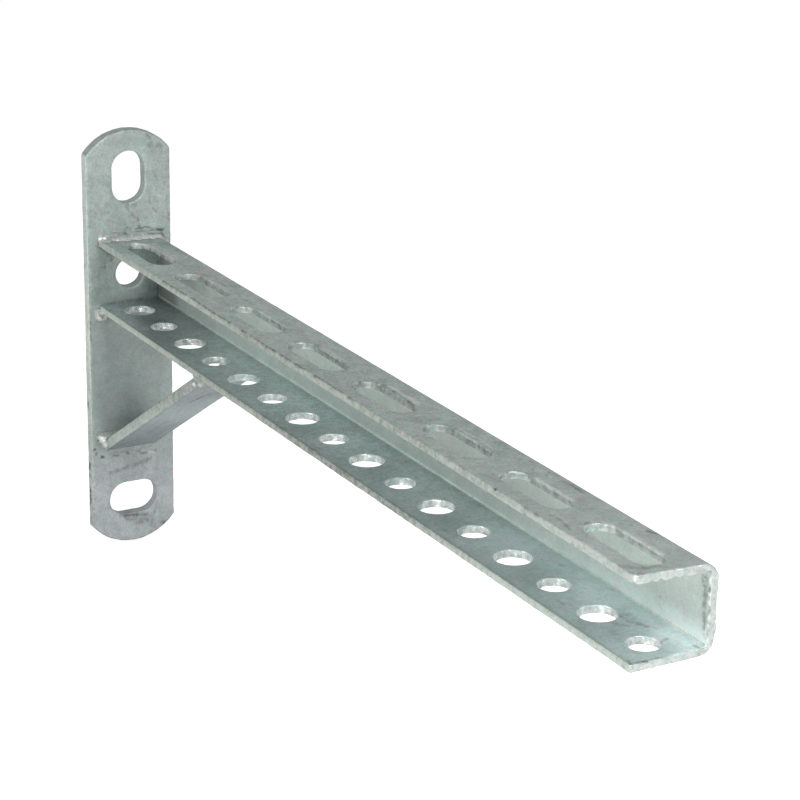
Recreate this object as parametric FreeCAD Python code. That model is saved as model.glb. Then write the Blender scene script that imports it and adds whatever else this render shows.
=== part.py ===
import FreeCAD, Part
import math
import os

from FreeCAD import Vector

# Cantilever strut arm: a wall plate, a punched channel arm that stands square out of it,
# and a flat bar brace under the arm, all joined by weld beads. Sizes are in millimetres.
# The origin is the middle of the wall plate's back face. X runs out along the arm,
# Y runs from the channel's open side towards its web, and Z is up.

# Wall plate: flat bar with both ends cropped to a shallow round
plate_width = 38.6
plate_height = 186.0
plate_thick = 5.0
plate_crown_rise = 9.5
plate_top_corner_r = 3.0
plate_bottom_corner_r = 0.8
plate_edge_r = 0.4

# Holes in the wall plate: one upright and one level oblong hole, and a round one
fixing_from_end = 20.5
fixing_slot_length = 22.5
fixing_slot_width = 15.0
middle_hole_d = 13.0

# Arm: a channel folded from sheet, open towards -Y, with a top flange that leans up to its lip
arm_length = 400.0
arm_height = 30.5
arm_width = 31.0
arm_wall = 2.7
arm_fold_outside_r = 5.7
arm_fold_inside_r = 0.6
arm_underside_z = 15.0
arm_open_side_y = -14.5
top_flange_lean = 2.5

# Punched rows: starts are measured from the welded end, and rows from the open edge
least_end_metal = 4.0
slot_length = 35.5
slot_width = 11.5
slot_bridge = 14.5
slot_first = 26.6
slot_row_in = 12.1
hole_large_d = 13.0
hole_small_d = 11.0
hole_pitch = 25.0
hole_first = 13.8
hole_row_in = 12.5

# Brace: flat bar from the plate up to the underside of the arm
brace_width = 24.0
brace_thick = 4.4
brace_drop = 58.7
brace_reach = 94.2
brace_row_in = 1.0

# Weld beads: the leg on each of the two pieces, and how far the face swells between them
bead_swell = 0.35
bead_root = 1.0
top_leg_plate = 2.7
top_leg_arm = 4.7
top_bead_setback = 0.3
web_leg = 2.4
bottom_leg_plate = 4.0
bottom_leg_arm = 3.6
foot_upper_leg_plate = 4.0
foot_upper_leg_brace = 4.2
foot_upper_overrun = 1.8
foot_lower_leg = 2.0
foot_lower_setback = 1.5
head_inner_leg = 2.6
head_side_leg = 2.5
head_side_lead = 1.4

# Blobs where a bead was started, each a ball whose middle stands off the corner of its bead
top_blob_r = 2.3
top_blob_inside = 1.9
bottom_blob_r = 2.9
bottom_blob_inside = 0.3
foot_blob_r = 2.5
blob_off_plate = 0.9
blob_off_metal = 0.7

# Places that follow from the sizes above
arm_start_x = plate_thick
arm_web_y = arm_open_side_y + arm_width
arm_inner_reach = arm_fold_outside_r - arm_wall
fold_y = arm_web_y - arm_fold_outside_r
lower_fold = Vector(arm_start_x, fold_y, arm_underside_z + arm_fold_outside_r)
upper_fold = Vector(arm_start_x, fold_y, arm_underside_z + arm_height - arm_fold_outside_r)
slot_pitch = slot_length + slot_bridge
brace_slope = math.atan2(brace_drop, brace_reach)
brace_y = arm_open_side_y + brace_row_in
brace_foot_z = arm_underside_z - brace_drop
brace_head_x = arm_start_x + brace_reach
brace_foot_cut = brace_thick / math.cos(brace_slope)
brace_head_cut = brace_thick / math.sin(brace_slope)

# Directions
outward = Vector(1, 0, 0)
across = Vector(0, 1, 0)
upward = Vector(0, 0, 1)
lean = math.radians(top_flange_lean)
top_normal = Vector(0, math.sin(lean), math.cos(lean))
to_top_lip = Vector(0, -math.cos(lean), math.sin(lean))
up_brace = Vector(math.cos(brace_slope), 0, math.sin(brace_slope))

# Half of the turn from a flange to the web, where one bead hands over to the next
lower_half_turn = 45.0
upper_half_turn = (90.0 - top_flange_lean) / 2


def line(start, end):
    """Straight edge."""
    return Part.LineSegment(start, end).toShape()


def arc(start, middle, end):
    """Round edge through three points."""
    return Part.Arc(start, middle, end).toShape()


def turned(direction, degrees):
    """A direction in the Y-Z plane, turned about X from +Y towards +Z."""
    return FreeCAD.Rotation(outward, degrees).multVec(direction)


def top_flange_point(y, radius):
    """Point at y on the leaning flange's face that lies radius from the middle of its fold."""
    start = upper_fold + top_normal * radius
    return start + to_top_lip * ((start.y - y) / math.cos(lean))


def places_in_row(first, pitch, end_reach):
    """Distances from the arm's welded end of a row of holes that keeps clear of the free end."""
    room = arm_length - first - end_reach - least_end_metal
    return [first + number * pitch for number in range(int(room // pitch) + 1)]


def oblong_cutter(middle, long_way, short_way, length, width, depth):
    """Bar with round ends, for a full-radius oblong hole; depth runs along the cut."""
    to_end = long_way * (length / 2 - width / 2)
    to_tip = long_way * (length / 2)
    to_side = short_way * (width / 2)
    outline = Part.Wire([
        line(middle - to_end + to_side, middle + to_end + to_side),
        arc(middle + to_end + to_side, middle + to_tip, middle + to_end - to_side),
        line(middle + to_end - to_side, middle - to_end - to_side),
        arc(middle - to_end - to_side, middle - to_tip, middle - to_end + to_side),
    ])
    return Part.Face(outline).extrude(depth)


def plate_blank():
    """The plate before its edges are rounded and its holes are punched."""
    side = across * (plate_width / 2)
    crown = upward * (plate_height / 2)
    shoulder = upward * (plate_height / 2 - plate_crown_rise)
    outline = Part.Wire([
        arc(-shoulder - side, -crown, -shoulder + side),
        line(-shoulder + side, shoulder + side),
        arc(shoulder + side, crown, shoulder - side),
        line(shoulder - side, -shoulder - side),
    ])
    return Part.Face(outline).extrude(outward * plate_thick)


def runs_along_x(edge):
    """True for an edge that runs straight through the plate's thickness."""
    box = edge.BoundBox
    return box.YLength + box.ZLength < box.XLength / 10


def lies_flat(edge):
    """True for an edge that lies in the plate's front or back face."""
    return edge.BoundBox.XLength < plate_edge_r / 10


def wall_plate():
    """Plate that stands flat against the wall, with its shoulders and rims rounded."""
    plate = plate_blank()
    corners = [edge for edge in plate.Edges if runs_along_x(edge)]
    plate = plate.makeFillet(plate_top_corner_r, [edge for edge in corners if edge.CenterOfMass.z > 0])
    corners = [edge for edge in plate.Edges if runs_along_x(edge) and edge.CenterOfMass.z < 0]
    plate = plate.makeFillet(plate_bottom_corner_r, corners)
    plate = plate.makeFillet(plate_edge_r, [edge for edge in plate.Edges if lies_flat(edge)])
    behind = outward * -plate_thick
    through = outward * (3 * plate_thick)
    to_fixing = upward * (plate_height / 2 - fixing_from_end)
    upright = oblong_cutter(behind + to_fixing, upward, across, fixing_slot_length, fixing_slot_width, through)
    level = oblong_cutter(behind - to_fixing, across, upward, fixing_slot_length, fixing_slot_width, through)
    between_flanges = (arm_underside_z + arm_wall + top_flange_point(0, arm_inner_reach).z) / 2
    round_hole = Part.makeCylinder(middle_hole_d / 2, through.x, behind + upward * between_flanges, outward)
    return plate.cut([upright, level, round_hole])


def arm_section():
    """Cross-section of the channel at its welded end: two flanges, a web, and folds that are round outside."""
    outer = arm_fold_outside_r
    inner = arm_fold_inside_r
    low_lip = Vector(arm_start_x, arm_open_side_y, arm_underside_z)
    low_lip_inside = low_lip + upward * arm_wall
    high_lip = top_flange_point(arm_open_side_y, outer)
    high_lip_inside = top_flange_point(arm_open_side_y, arm_inner_reach)
    low_mid = turned(across, -lower_half_turn)
    high_mid = turned(across, upper_half_turn)
    inside_y = arm_web_y - arm_wall - inner
    lower_inside = Vector(arm_start_x, inside_y, arm_underside_z + arm_wall + inner)
    upper_inside = top_flange_point(inside_y, arm_inner_reach - inner)
    return Part.Face(Part.Wire([
        line(low_lip, lower_fold - upward * outer),
        arc(lower_fold - upward * outer, lower_fold + low_mid * outer, lower_fold + across * outer),
        line(lower_fold + across * outer, upper_fold + across * outer),
        arc(upper_fold + across * outer, upper_fold + high_mid * outer, upper_fold + top_normal * outer),
        line(upper_fold + top_normal * outer, high_lip),
        line(high_lip, high_lip_inside),
        line(high_lip_inside, upper_inside + top_normal * inner),
        arc(upper_inside + top_normal * inner, upper_inside + high_mid * inner, upper_inside + across * inner),
        line(upper_inside + across * inner, lower_inside + across * inner),
        arc(lower_inside + across * inner, lower_inside + low_mid * inner, lower_inside - upward * inner),
        line(lower_inside - upward * inner, low_lip_inside),
        line(low_lip_inside, low_lip),
    ]))


def slot_cutters():
    """Upright cutters for the oblong holes of the top flange."""
    cutters = []
    for place in places_in_row(slot_first, slot_pitch, slot_length / 2):
        middle = Vector(arm_start_x + place, arm_open_side_y + slot_row_in, arm_underside_z + arm_height / 2)
        cutters.append(oblong_cutter(middle, outward, across, slot_length, slot_width, upward * arm_height))
    return cutters


def hole_cutters():
    """Upright cutters for the round holes of the bottom flange, large and small by turns."""
    cutters = []
    for number, place in enumerate(places_in_row(hole_first, hole_pitch, hole_large_d / 2)):
        diameter = hole_small_d if number % 2 else hole_large_d
        foot = Vector(arm_start_x + place, arm_open_side_y + hole_row_in, arm_underside_z - arm_height / 2)
        cutters.append(Part.makeCylinder(diameter / 2, arm_height, foot))
    return cutters


def arm_channel():
    """Folded channel that stands out of the wall plate, punched in both flanges."""
    blank = arm_section().extrude(outward * arm_length)
    return blank.cut(slot_cutters() + hole_cutters())


def brace_bar():
    """Flat bar mitred to sit flat on the plate at its foot and flat under the arm at its head."""
    foot = Vector(arm_start_x, brace_y, brace_foot_z)
    head = Vector(brace_head_x, brace_y, arm_underside_z)
    side = Part.makePolygon([
        foot,
        head,
        head + outward * brace_head_cut,
        foot - upward * brace_foot_cut,
        foot,
    ])
    return Part.Face(side).extrude(across * brace_width)


def bead_section(corner, one_way, one_leg, other_way, other_leg):
    """Fillet of weld metal in a corner, with a swelled face and its root sunk past the corner."""
    one_toe = corner + one_way * one_leg
    other_toe = corner + other_way * other_leg
    facing = (one_way + other_way).normalize()
    crown = (one_toe + other_toe) * 0.5 + facing * bead_swell
    root = corner - facing * bead_root
    return Part.Face(Part.Wire([
        arc(one_toe, crown, other_toe),
        line(other_toe, root),
        line(root, one_toe),
    ]))


def laid_bead(runs, carriers):
    """One bead from its overlapping or abutting runs, kept only outside the metal that it joins."""
    bead = runs[0].fuse(runs[1:]) if len(runs) > 1 else runs[0]
    bead = bead.cut(carriers).removeSplitter()
    return max(bead.Solids, key=lambda solid: solid.Volume)


def weld_arm_top(carriers):
    """Bead on the top flange, from a blob at the lip round to the middle of the upper fold."""
    corner = upper_fold + top_normal * arm_fold_outside_r
    lip = top_flange_point(arm_open_side_y, arm_fold_outside_r)
    section = bead_section(corner, top_normal, top_leg_plate, outward, top_leg_arm)
    straight = section.extrude(lip - corner - to_top_lip * top_bead_setback)
    bend = section.revolve(upper_fold, outward, -upper_half_turn)
    ball = lip - to_top_lip * top_blob_inside + outward * blob_off_plate + top_normal * blob_off_metal
    return laid_bead([straight, bend, Part.makeSphere(top_blob_r, ball)], carriers)


def weld_arm_web(carriers):
    """Bead down the outside of the web, between the middles of the two folds."""
    corner = lower_fold + across * arm_fold_outside_r
    section = bead_section(corner, across, web_leg, outward, web_leg)
    straight = section.extrude(upper_fold - lower_fold)
    lower_bend = section.revolve(lower_fold, outward, -lower_half_turn)
    upper_section = section.translated(upper_fold - lower_fold)
    upper_bend = upper_section.revolve(upper_fold, outward, upper_half_turn)
    return laid_bead([straight, lower_bend, upper_bend], carriers)


def weld_arm_bottom(carriers):
    """Bead under the bottom flange, from a blob round the lip to the middle of the lower fold."""
    corner = lower_fold - upward * arm_fold_outside_r
    lip = Vector(arm_start_x, arm_open_side_y, arm_underside_z)
    section = bead_section(corner, -upward, bottom_leg_plate, outward, bottom_leg_arm)
    straight = section.extrude(lip - corner)
    bend = section.revolve(lower_fold, outward, lower_half_turn)
    ball = lip + across * bottom_blob_inside + outward * blob_off_plate - upward * blob_off_metal * 2
    return laid_bead([straight, bend, Part.makeSphere(bottom_blob_r, ball)], carriers)


def weld_brace_foot_upper(carriers):
    """Bead above the brace's foot, begun in a blob beside the brace's open edge."""
    start = Vector(arm_start_x, brace_y - foot_upper_overrun, brace_foot_z)
    section = bead_section(start, upward, foot_upper_leg_plate, up_brace, foot_upper_leg_brace)
    straight = section.extrude(across * (foot_upper_overrun + brace_width))
    ball = start + outward * blob_off_plate + upward * blob_off_metal
    return laid_bead([straight, Part.makeSphere(foot_blob_r, ball)], carriers)


def weld_brace_foot_lower(carriers):
    """Short-legged bead below the brace's foot."""
    start = Vector(arm_start_x, brace_y + foot_lower_setback, brace_foot_z - brace_foot_cut)
    section = bead_section(start, -upward, foot_lower_leg, up_brace, foot_lower_leg)
    return laid_bead([section.extrude(across * (brace_width - 2 * foot_lower_setback))], carriers)


def weld_brace_head(carriers):
    """Bead in the sharp corner at the brace's head, carried on along the brace's open edge."""
    head = Vector(brace_head_x, brace_y, arm_underside_z)
    inner_section = bead_section(head - across * brace_row_in, -outward, head_inner_leg, -up_brace, head_inner_leg)
    inner = inner_section.extrude(across * (brace_row_in + brace_width))
    side_section = bead_section(head - outward * head_side_lead, -upward, head_side_leg, -across, brace_row_in)
    side = side_section.extrude(outward * (head_side_lead + brace_head_cut))
    return laid_bead([inner, side], carriers)


def write_parts(nodes):
    """Write one STEP file for each named piece."""
    os.makedirs("parts", exist_ok=True)
    for name, shape in nodes.items():
        shape.exportStep("parts/" + name + ".step")
        print(name, "solids", len(shape.Solids), "valid", shape.isValid(), "volume", round(shape.Volume, 1))


def main():
    plate = wall_plate()
    channel = arm_channel()
    brace = brace_bar()
    write_parts({
        "wall_plate": plate,
        "arm_channel": channel,
        "brace_bar": brace,
        "weld_arm_top": weld_arm_top([plate, channel]),
        "weld_arm_web": weld_arm_web([plate, channel]),
        "weld_arm_bottom": weld_arm_bottom([plate, channel]),
        "weld_brace_foot_upper": weld_brace_foot_upper([plate, brace]),
        "weld_brace_foot_lower": weld_brace_foot_lower([plate, brace]),
        "weld_brace_head": weld_brace_head([channel, brace]),
    })


main()
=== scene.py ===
import math

import bmesh
import bpy
from bpy.props import FloatProperty, FloatVectorProperty, PointerProperty
from mathutils import Matrix, Vector, geometry, kdtree, noise


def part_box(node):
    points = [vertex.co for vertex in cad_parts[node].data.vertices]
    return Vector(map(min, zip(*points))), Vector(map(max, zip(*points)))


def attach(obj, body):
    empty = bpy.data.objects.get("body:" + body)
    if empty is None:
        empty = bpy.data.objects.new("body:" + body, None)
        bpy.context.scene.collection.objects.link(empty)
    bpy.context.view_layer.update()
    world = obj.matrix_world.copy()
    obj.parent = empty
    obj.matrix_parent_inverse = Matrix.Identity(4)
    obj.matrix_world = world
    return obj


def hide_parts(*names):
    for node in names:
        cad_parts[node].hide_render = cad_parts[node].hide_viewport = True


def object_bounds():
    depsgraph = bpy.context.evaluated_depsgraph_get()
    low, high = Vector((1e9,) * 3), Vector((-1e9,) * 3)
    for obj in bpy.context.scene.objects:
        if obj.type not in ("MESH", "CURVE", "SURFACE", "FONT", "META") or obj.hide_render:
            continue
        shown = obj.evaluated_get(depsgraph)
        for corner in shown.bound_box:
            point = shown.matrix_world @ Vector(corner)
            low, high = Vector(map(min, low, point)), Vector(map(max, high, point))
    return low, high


bl_info = {
    "name": "Cantilever strut arm in zinc",
    "version": (1, 0, 0),
    "blender": (4, 5, 0),
    "location": "3D View > Sidebar > Strut Arm",
    "description": "Builds the strut arm's galvanised steel pieces, its rippled welds and its studio",
    "category": "Object",
}

MM = 0.001
QUARTER = math.pi / 2

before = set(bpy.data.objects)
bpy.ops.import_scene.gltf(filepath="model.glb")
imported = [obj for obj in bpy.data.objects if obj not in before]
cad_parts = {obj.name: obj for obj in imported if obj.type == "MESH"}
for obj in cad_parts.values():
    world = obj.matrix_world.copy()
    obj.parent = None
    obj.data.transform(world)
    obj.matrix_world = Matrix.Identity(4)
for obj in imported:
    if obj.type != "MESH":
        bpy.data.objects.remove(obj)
CAD_LOW, CAD_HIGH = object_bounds()
PLATE_LOW, PLATE_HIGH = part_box("wall_plate")
ARM_LOW, ARM_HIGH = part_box("arm_channel")
BRACE_LOW, BRACE_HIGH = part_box("brace_bar")


def length(name, description, default):
    """Property for a size in metres."""
    return FloatProperty(name=name, description=description, default=default, unit="LENGTH", precision=5)


def angle(name, description, degrees):
    """Property for an angle, given in degrees."""
    return FloatProperty(name=name, description=description, default=math.radians(degrees), subtype="ANGLE")


def share(name, description, default):
    """Property for a plain number."""
    return FloatProperty(name=name, description=description, default=default)


def power(name, description, default):
    """Property for a light's power in watts."""
    return FloatProperty(name=name, description=description, default=default, unit="POWER")


def colour(name, description, default):
    """Property for a colour."""
    return FloatVectorProperty(
        name=name, description=description, default=default, subtype="COLOR", min=0, max=1)


class PlateSizes(bpy.types.PropertyGroup):
    """Sizes of the wall plate that its box doesn't give."""
    crown_rise: length("Crown rise", "How far each cropped end rises above its shoulders", 9.5 * MM)
    top_corner: length("Top corner radius", "Radius between the upper crown and the sides", 3.0 * MM)
    bottom_corner: length("Bottom corner radius", "Radius between the lower crown and the sides", 0.8 * MM)
    fixing_from_end: length("Fixing from end", "From each end to the middle of its oblong hole", 20.5 * MM)
    fixing_length: length("Fixing length", "Long way of the oblong holes", 22.5 * MM)
    fixing_width: length("Fixing width", "Short way of the oblong holes", 15.0 * MM)
    middle_hole: length("Middle hole", "Diameter of the round hole between the arm's flanges", 13.0 * MM)
    middle_hole_up: length("Middle hole height", "From the plate's middle up to the round hole", 30.49 * MM)
    soft_edge: length("Soft edge", "Radius of the plate's zinc-softened edges", 0.55 * MM)


class ArmSizes(bpy.types.PropertyGroup):
    """Sizes of the channel that its box doesn't give."""
    wall: length("Wall", "Thickness of the sheet", 2.7 * MM)
    fold_outside: length("Fold outside", "Outside radius of the two folds", 5.7 * MM)
    fold_inside: length("Fold inside", "Inside radius of the two folds, pressed nearly sharp", 0.6 * MM)
    lean: angle("Top flange lean", "How far the top flange leans up to its lip", 2.5)
    height: length("Height", "From the underside to the top of the web's fold", 30.5 * MM)
    slot_length: length("Slot length", "Long way of the top flange's holes", 35.5 * MM)
    slot_width: length("Slot width", "Short way of the top flange's holes", 11.5 * MM)
    slot_pitch: length("Slot pitch", "From one oblong hole to the next", 50.0 * MM)
    slot_first: length("First slot", "From the plate to the middle of the first oblong hole", 26.6 * MM)
    slot_row: length("Slot row", "From the lip to the row of oblong holes", 12.1 * MM)
    hole_large: length("Large hole", "Diameter of every second round hole", 13.0 * MM)
    hole_small: length("Small hole", "Diameter of the round holes between the large ones", 11.0 * MM)
    hole_pitch: length("Hole pitch", "From one round hole to the next", 25.0 * MM)
    hole_first: length("First hole", "From the plate to the middle of the first round hole", 13.8 * MM)
    hole_row: length("Hole row", "From the lip to the row of round holes", 12.5 * MM)
    punch_narrows: length("Punch narrows", "How far the round holes narrow towards the underside", 0.3 * MM)
    punch_shifts: length("Punch shifts", "How far they shift along the arm on the way there", 0.3 * MM)
    soft_edge: length("Soft edge", "Radius of the channel's zinc-softened edges", 0.45 * MM)


class BraceSizes(bpy.types.PropertyGroup):
    """Sizes of the brace that its box doesn't give."""
    thick: length("Thickness", "Thickness of the flat bar", 4.4 * MM)
    soft_edge: length("Soft edge", "Radius of the bar's edges", 0.6 * MM)


class WeldSizes(bpy.types.PropertyGroup):
    """Sizes that all the weld beads share."""
    ripple_pitch: length("Ripple pitch", "From one ripple of a bead to the next", 1.7 * MM)
    ripple_depth: length("Ripple depth", "How deep the ripples are", 0.16 * MM)
    swell: length("Swell", "How far a bead's face swells out between its toes", 0.35 * MM)
    root: length("Root", "How far a bead's root lies inside the corner that it fills", 0.8 * MM)
    grain: length("Mesh grain", "Size of the grid that a bead is fused on", 0.24 * MM)


class ZincLook(bpy.types.PropertyGroup):
    """Tones of the zinc on each kind of piece."""
    plate: colour("Plate tone", "Zinc on the wall plate", (0.475, 0.545, 0.525))
    channel: colour("Channel tone", "Zinc on the channel", (0.50, 0.575, 0.55))
    brace: colour("Brace tone", "Zinc on the brace", (0.445, 0.51, 0.50))
    weld: colour("Weld tone", "Zinc on the weld beads", (0.50, 0.54, 0.525))
    # The pale tone also paints highlights: on cut edges, on the far rims of the oblong holes and on the weld
    # beads
    pale: colour("Pale tone", "Bright zinc on cut edges and runs", (0.74, 0.77, 0.74))
    # The bright tone paints the glints in the round holes and on the weld balls, as painted highlights
    bright: colour("Bright tone", "Smooth zinc that glitters in the bores", (0.92, 0.93, 0.91))
    # The dark tone also paints the shadow under the top bead and the shade in the plate's corners
    dark: colour("Dark tone", "Ash and dross in nicks, pits and creases", (0.10, 0.115, 0.105))
    roughness: share("Roughness", "Middle roughness of the matt zinc", 0.5)


class StudioLook(bpy.types.PropertyGroup):
    """Floor, light and camera."""
    floor: colour("Floor tone", "Plain pale floor", (0.93, 0.93, 0.93))
    floor_drop: length("Floor drop", "From the plate's lower end down to the floor", 2.0 * MM)
    glow: share("Floor glow", "How far the floor is lifted towards white, as in an overexposed studio", 0.7)
    sky: share("Sky light", "Strength of the even light from all round", 0.314)
    end_light: power("End light", "Soft light above the free end", 3.44)
    side_light: power("Side light", "Soft light on the channel's open side", 2.38)
    low_light: power("Low light", "Small light low beside the free end", 0.88)
    back_light: power("Back light", "Soft light behind the arm", 1.1)
    azimuth: angle("Camera azimuth", "Turn of the camera about the arm, from the front", 60.1559)
    elevation: angle("Camera elevation", "Height of the camera above level", 19.48365)
    roll: angle("Camera roll", "Turn of the camera about its own line of sight", 1.09297)
    lens: share("Lens", "Focal length in millimetres on a 36 mm sensor", 115.04)


class StrutArmSettings(bpy.types.PropertyGroup):
    """All settings of the strut arm."""
    plate: PointerProperty(type=PlateSizes)
    arm: PointerProperty(type=ArmSizes)
    brace: PointerProperty(type=BraceSizes)
    weld: PointerProperty(type=WeldSizes)
    zinc: PointerProperty(type=ZincLook)
    studio: PointerProperty(type=StudioLook)


# Rims: each is a closed list of flat points, and at each point the way that leaves the metal

RIM_STEP = 0.6 * MM
ARC_STEP = 0.5 * MM


def unit(turn):
    """Flat way that points at a turn."""
    return Vector((math.cos(turn), math.sin(turn)))


def arc_run(middle, radius, start, end, out=1.0):
    """Points round an arc, without its last one; out is -1 round a hole."""
    count = max(4, round(abs(end - start) * radius / ARC_STEP))
    run = []
    for number in range(count):
        turn = start + (end - start) * number / count
        way = unit(turn)
        run.append((middle + way * radius, way * out))
    return run


def straight_run(start, end, way):
    """Points along a straight edge, without its last one."""
    count = max(1, round((end - start).length / RIM_STEP))
    return [(start.lerp(end, number / count), way) for number in range(count)]


def oblong_rim(middle, long, wide, turn=0.0):
    """Rim of a hole with full-radius ends, or of a round one where both sizes are the same."""
    radius = wide / 2
    along = unit(turn)
    side = Vector((-along.y, along.x))
    reach = along * (long / 2 - radius)
    if reach.length < RIM_STEP:
        return arc_run(middle, radius, 0, 4 * QUARTER, -1.0)
    rim = arc_run(middle + reach, radius, turn - QUARTER, turn + QUARTER, -1.0)
    rim += straight_run(middle + reach + side * radius, middle - reach + side * radius, -side)
    rim += arc_run(middle - reach, radius, turn + QUARTER, turn + 3 * QUARTER, -1.0)
    rim += straight_run(middle - reach - side * radius, middle + reach - side * radius, side)
    return rim


def rounded_outline(long, wide, radius):
    """Outline of a rectangle with rounded corners that starts at the origin."""
    low, right, up = radius, long - radius, wide - radius
    hubs = [(Vector((right, low)), -QUARTER), (Vector((right, up)), 0),
            (Vector((low, up)), QUARTER), (Vector((low, low)), 2 * QUARTER)]
    rim = []
    for number, (hub, turn) in enumerate(hubs):
        rim += arc_run(hub, radius, turn, turn + QUARTER)
        way = unit(turn + QUARTER)
        rim += straight_run(hub + way * radius, hubs[(number + 1) % 4][0] + way * radius, way)
    return rim


def crowned_outline(wide, high, rise, top_corner, bottom_corner):
    """Outline of the wall plate: two upright sides and two cropped ends."""
    half = wide / 2
    crown = (half * half + rise * rise) / (2 * rise)
    hub = high / 2 - crown

    def corner(radius):
        """Height of a corner's middle, and the angle at which it meets the crown."""
        up = math.sqrt((crown - radius) ** 2 - (half - radius) ** 2)
        return hub + up, math.atan2(up, half - radius)

    top, top_turn = corner(top_corner)
    low, low_turn = corner(bottom_corner)
    turn = math.pi
    right, left = Vector((1, 0)), Vector((-1, 0))
    rim = straight_run(Vector((half, -low)), Vector((half, top)), right)
    rim += arc_run(Vector((half - top_corner, top)), top_corner, 0, top_turn)
    rim += arc_run(Vector((0, hub)), crown, top_turn, turn - top_turn)
    rim += arc_run(Vector((top_corner - half, top)), top_corner, turn - top_turn, turn)
    rim += straight_run(Vector((-half, top)), Vector((-half, -low)), left)
    rim += arc_run(Vector((bottom_corner - half, -low)), bottom_corner, turn, turn + low_turn)
    rim += arc_run(Vector((0, -hub)), crown, turn + low_turn, 2 * turn - low_turn)
    rim += arc_run(Vector((half - bottom_corner, -low)), bottom_corner, 2 * turn - low_turn, 2 * turn)
    return rim


# Sheets: flat metal between rims, with softened edges, laid into place by a function

EDGE_PARTS = 3
WALL_PARTS = 3
SHEET_GRID = 1.3 * MM
BRACE_GRID = 1.2 * MM

# How each edge was cut, as the rim value that the zinc reads. It also sets painted highlights: the pale lumps
# on cut edges in part, and the bright glints in the round holes and on balls of weld
PLATE_CUT = 0.4
PLATE_HOLE_CUT = 0.01
CHANNEL_CUT = 0.5
FIRST_SLOT_CUT = 0.5
SLOT_CUT = 0.36
ROUND_HOLE_CUT = 1.0
BRACE_CUT = 0.45
FIRST_BALL_SHINE = 0.85
BALL_SHINE = 0.6

# How near the outline a place counts as cut, on the channel, and as on a flat bar's side
ON_CUT = 0.3 * MM
ON_SIDE = 0.2 * MM

# Radius of the flat channel's corners and of the bar's
CHANNEL_CORNER = 0.9 * MM
BRACE_CORNER = 0.7 * MM

# How far the zinc's skin moves in and out: broadly, finely and raggedly on its cuts
PLATE_SKIN = (0.06 * MM, 0.025 * MM, 0.09 * MM)
CHANNEL_SKIN = (0.05 * MM, 0.02 * MM, 0.1 * MM)
BRACE_SKIN = (0.06 * MM, 0.03 * MM, 0.02 * MM)
WELD_SKIN = (0.05 * MM, 0.05 * MM, 0.0)


def edge_profile(thick, soft):
    """Steps across a cut edge, each as its distance in from the rim and its depth in the sheet."""
    turns = [QUARTER * number / EDGE_PARTS for number in range(EDGE_PARTS + 1)]
    front = [(soft * (1 - math.sin(turn)), soft * (1 - math.cos(turn))) for turn in turns]
    wall = [(0.0, soft + (thick - 2 * soft) * number / WALL_PARTS) for number in range(1, WALL_PARTS)]
    back = [(inset, thick - depth) for inset, depth in reversed(front)]
    return front + wall + back


def spread(start, end, step):
    """Evenly spaced values from start to end, about step apart."""
    count = max(1, round((end - start) / step))
    return [start + (end - start) * number / count for number in range(count + 1)]


def staggered(columns, rows):
    """Grid of flat points whose rows are shifted by half a step in turn."""
    half = (columns[1] - columns[0]) / 2
    return [Vector((column + half * (number % 2), row))
            for number, row in enumerate(rows) for column in columns]


def along_line(points, step):
    """Places along a line through some points, about step apart; one point alone is its own line."""
    if len(points) == 1:
        return list(points)
    run = []
    for start, end in zip(points, points[1:]):
        count = max(1, round((end - start).length / step))
        run += [start.lerp(end, number / count) for number in range(count)]
    return run + [points[-1]]


# Step of the fine grid under the marks, and the width from which a mark is soft, a stain or a broad painted
# highlight, and needs none
FINE = 0.38 * MM
BROAD = 3 * MM
# Points of the coarse grid keep this share of their spacing off a rim, and fine ones this distance
CLEAR_SHARE = 0.55
CLEAR_FINE = 0.25 * MM


def fine_cells(marks):
    """Cells of a fine grid that lie under the marks."""
    cells = set()
    for _, wide, _, points in marks:
        if wide >= BROAD:
            continue
        reach = math.ceil(wide * 0.6 / FINE)
        for spot in along_line([point.xy for point in points], FINE):
            column, row = round(spot.x / FINE), round(spot.y / FINE)
            for right in range(-reach, reach + 1):
                for up in range(-reach, reach + 1):
                    cells.add((column + right, row + up))
    return cells


class Rim:
    """Closed edge of a sheet: its points, its softened edge, the finish of its cut, and the painted light on
    its cut walls.

    A hole may also narrow all round, and shift along the sheet, towards the sheet's first side.
    """

    def __init__(self, points, soft, shine, light=1.0, narrow=0.0, shift=0.0):
        self.points, self.soft, self.shine, self.light, self.narrow = points, soft, shine, light, narrow
        self.shift = Vector((shift, 0))


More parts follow.
